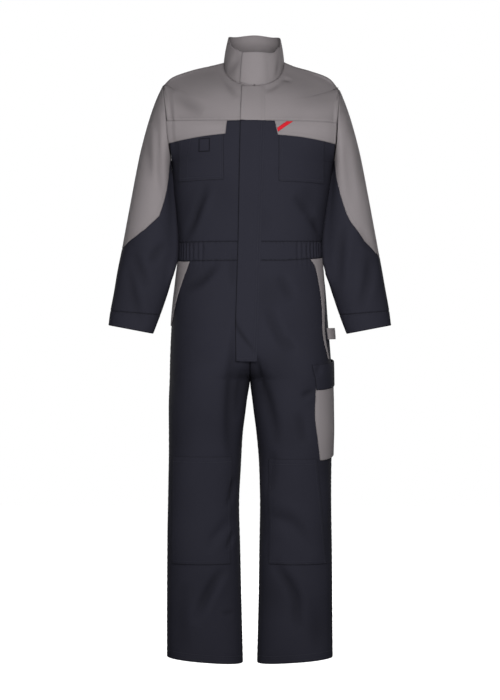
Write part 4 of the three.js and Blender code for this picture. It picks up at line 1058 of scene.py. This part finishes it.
def front_patch(node, lines, counts, lift, finish, under, line=1.0):
    """Lines are the upright lines of the piece from one end to the other: top x, top z, bottom x and
    bottom z. Rows run down them, columns across."""
    ends = pattern("at top_x top_z bottom_x bottom_z", [(k, *values) for k, values in enumerate(lines)])
    down, across = spaced(counts[0])[:, None], (spaced(counts[1]) * (len(lines) - 1))[None, :]
    x = mix(ends["top_x"](across), ends["bottom_x"](across), down)
    z = mix(ends["top_z"](across), ends["bottom_z"](across), down)
    if callable(lift):
        lift = lift(down)
    patch(node, *on_front(x, z), lift, finish, under, line=line)


# Chest pockets. A dark patch pocket on each front, under a grey flap sewn into the yoke seam. The right
# one has a pen loop, and the left flap a small plain red tab.
CHEST_POCKET = {
    "right": [(-67, -184, -66, -314), (-182, -190, -181, -316)],
    "left": [(73, -186, 72, -318), (191, -192, 190, -321)],
}
CHEST_FLAP = {
    "right": [(-58, -163.6, -62, -198), (-124, -162.4, -126, -204), (-215, -159.8, -208, -215)],
    "left": [(62, -163.7, 70, -201), (126, -164.0, 128, -205), (221, -165.0, 217, -217)],
}
PEN_LOOP = [(-101, -208, -101, -242), (-128, -209, -128, -242)]
LABEL_TAB = [(93, -166, 68, -184), (109, -166, 70, -194)]
POCKET_LIFT = 2 * LIFT + PATCH_CLOTH
FLAP_RISE = 0.4
TAB_CLEAR = 0.3


def flap_lift(down):
    return mix(LIFT, POCKET_LIFT, smooth(down / FLAP_RISE))


for side in SIDES:
    front_patch(f"chest_pocket_{side}", CHEST_POCKET[side], (32, 30), LIFT, NAVY, [f"front_{side}"])
    front_patch(f"chest_flap_{side}", CHEST_FLAP[side], (14, 40), flap_lift, GREY, [f"front_{side}"])
LOOP_CLEAR = 1.2
front_patch("pen_loop", PEN_LOOP, (10, 8), POCKET_LIFT + LOOP_CLEAR, NAVY, ["chest_pocket_right"], FREE_LINE)
RED = twill("red tab", (0.50, 0.012, 0.022), (0.56, 0.016, 0.028), 0.3, 0.2, 0.02)
TAB_ON_FLAP = 0.6          # share of the flap's height that the tab takes up


def tab_lift(down):
    return flap_lift(TAB_ON_FLAP * down) + PATCH_CLOTH + TAB_CLEAR


front_patch("label_tab", LABEL_TAB, (16, 10), tab_lift, RED, ["chest_flap_left"])

# Knee pockets. Large dark patches over the knees, open at the top for a pad.
KNEE_POCKET = {
    "right": [(-47, -1018, -50, -1296), (-198, -1018, -201, -1296)],
    "left": [(47, -1024, 50, -1296), (172, -1024, 197, -1296)],
}
for side in SIDES:
    front_patch(f"knee_pocket_{side}", KNEE_POCKET[side], (64, 40), LIFT, NAVY, [f"leg_front_{side}"])

# Fly placket. A double strip that covers the zip from the collar to below the waist: grey on the collar
# and yoke, dark below. Its left edge is sewn down and its right edge hangs free.
PLACKET = pattern("z free sewn", [(-72, -21, 39), (-164, -25, 38), (-470, -31, 28), (-690, -37, 21),
                                  (-775, -36, 17)])
PLACKET_TOP, PLACKET_END = -72.0, -775.0
YOKE_SEAM = -164.0
COLLAR_FLY = (-27.0, 29.0)
COLLAR_FLY_FOOT = 0.03

FLY_CREASE = [(4.5, 1, 0, [(-40, -655), (-35, -680), (-19, -710), (16, -754)])]   # at the crotch
CREASE_DEPTH = 1.6
CREASE_EASE = 60.0         # below the start of the rise the fly has its own crease, not the front's folds
PLACKET_COLUMNS = 16
SEWN_FROM = 0.72           # share of the width from which it is sewn down
SEWN_FULL = 0.35           # and how thick it still is there
FREE_LIFT, SEWN_LIFT, LEAST_LIFT = 1.0, 0.25, 0.1
FREE_SHARE = 0.3           # share of the width that its free edge takes up
FREE_PROUD, FREE_REACH = 1.8, 0.12
WAVY = 0.35                # height of the slow waves of its free edge
WAVE, WAVE_DRIFT = 31.0, 90.0
COLLAR_PROUD = 0.8


def fly_strip(node, place, normal, across, proud, finish, under, crease=0):
    """A strip from its free edge to its sewn edge, with painted shadow along its free edge and painted
    shade in its crease. Proud is how much further out it stands.
    """
    sewn = smooth((across - SEWN_FROM) / (1 - SEWN_FROM))
    lift = np.maximum(mix(FREE_LIFT, SEWN_LIFT, sewn) + proud - CREASE_DEPTH * crease, LEAST_LIFT)
    line = FREE_LINE * (1 - smooth(across / FREE_SHARE))
    patch(node, place, normal, lift, finish, under, mix(1, SEWN_FULL, sewn), line, crease)


def placket_part(node, top, bottom, count, finish):
    """A strip straight down the front between the free and the sewn edge, its free edge a little proud."""
    z, across = mix(top, bottom, spaced(count))[:, None], spaced(PLACKET_COLUMNS)[None, :]
    x = mix(PLACKET["free"](z), PLACKET["sewn"](z), across)
    place, normal = on_front(x, np.broadcast_to(z, x.shape), bridged=True)
    followed = smooth((place[..., 2] - RISE_START) / CREASE_EASE)
    place = place - normal * (body_relief(place) * followed)[..., None]
    waves = WAVY * (1 + np.sin(z / WAVE + 2 * np.sin(z / WAVE_DRIFT))) * (1 - across)
    # the crease presses the strip down and is painted shade on it as well
    crease = np.maximum(fold_depth(place[..., 0], place[..., 2], FLY_CREASE), 0)
    proud = FREE_PROUD * bell(across, FREE_REACH) + waves
    fly_strip(node, place, normal, across, proud, finish, ["front_left"], crease)


placket_part("placket_upper", PLACKET_TOP, YOKE_SEAM + SEAM_GAP, 22, GREY)
placket_part("placket_lower", YOKE_SEAM - SEAM_GAP, PLACKET_END, 136, NAVY)
fly_across, fly_height = spaced(PLACKET_COLUMNS)[None, :], mix(COLLAR_FLY_FOOT, 1, spaced(20))[:, None]
place = collar_point(*np.broadcast_arrays(mix(*COLLAR_FLY, fly_across), fly_height))
proud = COLLAR_PROUD * (1 - smooth(fly_across / FREE_SHARE))
fly_strip("placket_collar", place, face_normals(place, FRONTWARD), fly_across, proud, GREY, ["collar"])

# Side pockets. Grey facings show in the slanted openings of the front pockets, and a grey strap stands
# off the left hip as a hammer loop.
FACING = {
    "right": [(-520, 51, 80), (-569, 61, 86), (-612, 68, 88), (-655, 75, 88), (-684, 82, 88)],
    "left": [(-520, 51, 80), (-540, 58, 79), (-603, 63, 73), (-664, 64, 69), (-727, 62, 66.5),
             (-770, 66, 69)],
}
HAMMER_LOOP = [(-690, 74, 112), (-719, 74, 112)]
LOOP_STAND = 15.0
LOOP_FULLNESS = 0.7


def on_leg(side, angle, z):
    """Place and normal on the side of a leg, past 90 on its back."""
    front = body_point(side, "front", np.minimum(angle, 90), z)
    back = body_point(side, "back", 180 - np.maximum(angle, 90), z)
    place = np.where((angle <= 90)[..., None], front, back)
    middle = half_section(side, z)[0]
    away = place - points(middle, 0 * middle, z)
    normal = face_normals(place, away)
    return place - normal * body_relief(place)[..., None], normal


def leg_patch(node, side, lines, counts, lift, finish, under, tilt=0.0):
    """Lines give, for each height, the angles round the leg at which the piece starts and ends. Tilt lifts
    its far edge."""
    edge = pattern("z start end", lines)
    z = mix(lines[0][0], lines[-1][0], spaced(counts[0]))[:, None]
    across = spaced(counts[1])[None, :]
    angle = mix(edge["start"](z), edge["end"](z), across)
    place, normal = on_leg(side, angle, z + tilt * smooth(across))
    patch(node, place, normal, lift(across) if callable(lift) else lift, finish, under)


def loop_lift(across):
    return LIFT + LOOP_STAND * np.sin(np.pi * across) ** LOOP_FULLNESS


for side in SIDES:
    leg_patch(f"pocket_facing_{side}", side, FACING[side], (44, 12), LIFT, GREY, [f"leg_front_{side}"])
leg_patch("hammer_loop", "left", HAMMER_LOOP, (8, 40), loop_lift, GREY, ["leg_front_left"])

# Thigh pocket. A grey bellows pocket round the outside of the left thigh, under a dark flap.
THIGH_POCKET = [(-838, 34, 121), (-880, 31, 121), (-924, 29.5, 121), (-980, 34, 122), (-1030, 40, 122)]
THIGH_FLAP = [(-784, 32, 119), (-815, 32, 120), (-848, 33, 121)]
THIGH_EDGE_LIFT = 0.6
THIGH_BULGE = 3.4
THIGH_TILT = 16.0


def bellows(across):
    return THIGH_EDGE_LIFT + THIGH_BULGE * np.sin(np.pi * across)


def over_bellows(across):
    return bellows(across) + PATCH_CLOTH + LIFT


leg_patch("thigh_pocket", "left", THIGH_POCKET, (48, 48), bellows, GREY, ["leg_front_left", "leg_back_left"],
          THIGH_TILT)
leg_patch("thigh_flap", "left", THIGH_FLAP, (16, 48), over_bellows, NAVY, ["thigh_pocket"], THIGH_TILT)

# Topstitching. Pairs of lockstitch rows in thread a shade darker than the cloth hold every seam flat.
STITCH = 3.4
STITCH_SHOWN = 0.42        # of its length to each side of its middle
THREAD = 0.38
LOOK_AHEAD = 0.5


def inset(face, border, offset):
    """The line on a face at a distance from one of its borders, with its normals. Start and end are the
    first and last row, left and right the first and last column."""
    outer, normal = face
    if border in ("start", "end"):
        outer, normal = outer.transpose(1, 0, 2), normal.transpose(1, 0, 2)
    if border in ("right", "end"):
        outer, normal = outer[:, ::-1], normal[:, ::-1]
    run = lengths_along(outer, 1)
    k = np.clip((run < offset).sum(axis=1), 1, run.shape[1] - 1)
    i = np.arange(len(run))
    t = ((offset - run[i, k - 1]) / np.maximum(run[i, k] - run[i, k - 1], 1e-6))[:, None]
    return mix(outer[i, k - 1], outer[i, k], t), mix(normal[i, k - 1], normal[i, k], t)


def at_lengths(at, passed, values):
    return np.stack([np.interp(at, passed, column) for column in values.T], -1)


def stitches(name, lines, finish):
    """Each stitch is a small spindle on the line: two ends, and four points round its middle."""
    found = []
    for place, normal in lines:
        passed = np.concatenate([[0], np.cumsum(np.linalg.norm(np.diff(place, axis=0), axis=1))])
        at = np.arange(STITCH, passed[-1] - STITCH, STITCH)
        centre = at_lengths(at, passed, place)
        way = unit(at_lengths(at + LOOK_AHEAD, passed, place) - centre)
        found.append((centre, way, unit(at_lengths(at, passed, normal))))
    centre, way, up = (np.concatenate(values) for values in zip(*found))
    half, out, side = way * STITCH * STITCH_SHOWN, up * THREAD, np.cross(up, way) * THREAD
    spindle = [centre - half, centre + half, centre + side, centre + out, centre - side, centre - out]
    places = np.stack(spindle, 1).reshape(-1, 3) * MM
    ring = np.array([2, 3, 4, 5])
    after = np.roll(ring, -1)
    one = np.concatenate([np.stack([np.zeros_like(ring), after, ring], -1),
                          np.stack([np.ones_like(ring), ring, after], -1)])
    triangles = (one[None] + len(spindle) * np.arange(len(centre))[:, None, None]).reshape(-1, 3)
    mesh = bpy.data.meshes.new(name)
    mesh.from_pydata(places.tolist(), [], triangles.tolist())
    mesh.shade_smooth()
    mesh.materials.append(finish)
    piece = add(name, mesh)
    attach(piece, "root")


THREAD_LIGHTER, THREAD_DARKER = 1.2, 0.8
PLIES_SCALE = 1500


def thread(name, shade):
    """Polyester sewing thread with a slight shine, lighter and darker from ply to ply."""
    material, tree, surface = new_material(name, {"Roughness": 0.6})
    place = tree.nodes.new("ShaderNodeTexCoord").outputs["Object"]
    dark, light = ((*[part * c for c in shade], 1) for part in (THREAD_DARKER, THREAD_LIGHTER))
    feed(tree, surface, {"Base Color": blend(tree, noise(tree, place, PLIES_SCALE), dark, light)})
    return material


def both(node):
    return [f"{node}_{side}" for side in SIDES]


PAIR = (2.2, 8.6)
ROUND_FOOT = "left right end"
GREY_SEWING = [   # pieces, their borders, and how far from these the rows run
    (both("front_yoke") + ["back_yoke"], "start", PAIR),
    (both("front_yoke"), "right", [6]),
    (["back_yoke"], "left right", [6]),
    (both("sleeve_top"), "left right", PAIR),
    (both("chest_flap"), ROUND_FOOT, PAIR),
    (["collar"], "end", [5]),
    (["collar"], "start", [2.2]),
    (["placket_upper", "placket_collar"], "right", PAIR),
    (["thigh_pocket"], ROUND_FOOT, [2.5]),
]
NAVY_SEWING = [
    (both("front") + ["back"], "right", [6]),
    (["back"], "left", [6]),
    (both("waistband") + ["waistband_back"], "start end", [2.2]),
    (both("leg_back"), "left right", PAIR),
    (both("leg_front") + both("leg_back"), "start", [20]),
    (both("cuff"), "start", [2.2]),
    (both("cuff"), "end", [3]),
    (both("chest_pocket") + both("knee_pocket"), ROUND_FOOT, PAIR),
    (["chest_pocket_right"], "right", [35]),
    (both("knee_pocket"), "start", [14]),
    (["placket_lower"], "right end", PAIR),
    (["thigh_flap"], ROUND_FOOT, [2.5]),
]
for name, sewing, shade in (("grey", GREY_SEWING, (0.13, 0.115, 0.118)),
                            ("navy", NAVY_SEWING, (0.014, 0.015, 0.022))):
    lines = [inset(faces[node], border, offset) for nodes, borders, offsets in sewing
             for node in nodes for border in borders.split() for offset in offsets]
    stitches(f"stitching_{name}", lines, thread(f"{name} thread", shade))

# Studio. A pale floor in white surroundings, one large soft light in front at chest height with a little
# from both sides, two behind, and a camera level with the waist, five metres away.
CAMERA_DISTANCE = 5.0
CAMERA_HEIGHT = -0.746
PICTURE_HEIGHT = 1.820     # what the picture's 700 rows take in at the side seams
SENSOR = 36.0
FLOOR = -1.64

camera = bpy.data.cameras.new("camera")
camera.sensor_width = SENSOR
camera.lens = SENSOR * CAMERA_DISTANCE / PICTURE_HEIGHT
camera_object = add("camera", camera)
camera_object.location = (0, -CAMERA_DISTANCE, CAMERA_HEIGHT)
camera_object.rotation_euler = (np.pi / 2, 0, 0)
bpy.context.scene.camera = camera_object

mesh = bpy.data.meshes.new("floor")
mesh.from_pydata([(-6, -6, FLOOR), (6, -6, FLOOR), (6, 6, FLOOR), (-6, 6, FLOOR)], [], [(0, 1, 2, 3)])
mesh.materials.append(new_material("pale paper", {
    "Base Color": (0.93, 0.93, 0.93, 1), "Roughness": 0.9,
    "Emission Color": (1, 1, 1, 1), "Emission Strength": 0.93})[0])
floor = add("floor", mesh)
floor.visible_diffuse = False
floor.visible_glossy = False

# Each light has a name, a place, a point that it faces, a size and a power.
for name, place, aim, size, power in (
        ("front light", (0.1, -2.3, -0.33), (0, 0, -0.5), 0.9, 58),
        ("left light", (1.8, -3.0, 0.3), (0.2, 0, -0.4), 1.2, 5),
        ("right light", (-1.8, -3.0, 0.3), (-0.2, 0, -0.4), 1.2, 4),
        ("back left light", (1.4, 2.5, 0.3), (0, 0, -0.6), 1.2, 34),
        ("back right light", (-1.7, 2.3, 0.0), (0, 0, -0.6), 1.2, 22)):
    light = bpy.data.lights.new(name, "AREA")
    light.size = size
    light.energy = power
    lamp = add(name, light)
    lamp.location = place
    way = np.array(aim, float) - place
    lamp.rotation_euler = (np.arctan2(np.hypot(way[0], way[1]), -way[2]), 0, np.arctan2(-way[0], way[1]))

AMBIENT = 0.09             # light of the surroundings, which the camera sees as plain white
world = bpy.data.worlds.new("studio")
world.use_nodes = True
tree = world.node_tree
camera_ray = tree.nodes.new("ShaderNodeLightPath").outputs["Is Camera Ray"]
feed(tree, tree.nodes["Background"], {
    "Color": (1, 1, 1, 1), "Strength": spread(tree, camera_ray, AMBIENT, 1.0)})
bpy.context.scene.world = world
bpy.context.scene.view_settings.view_transform = "Standard"
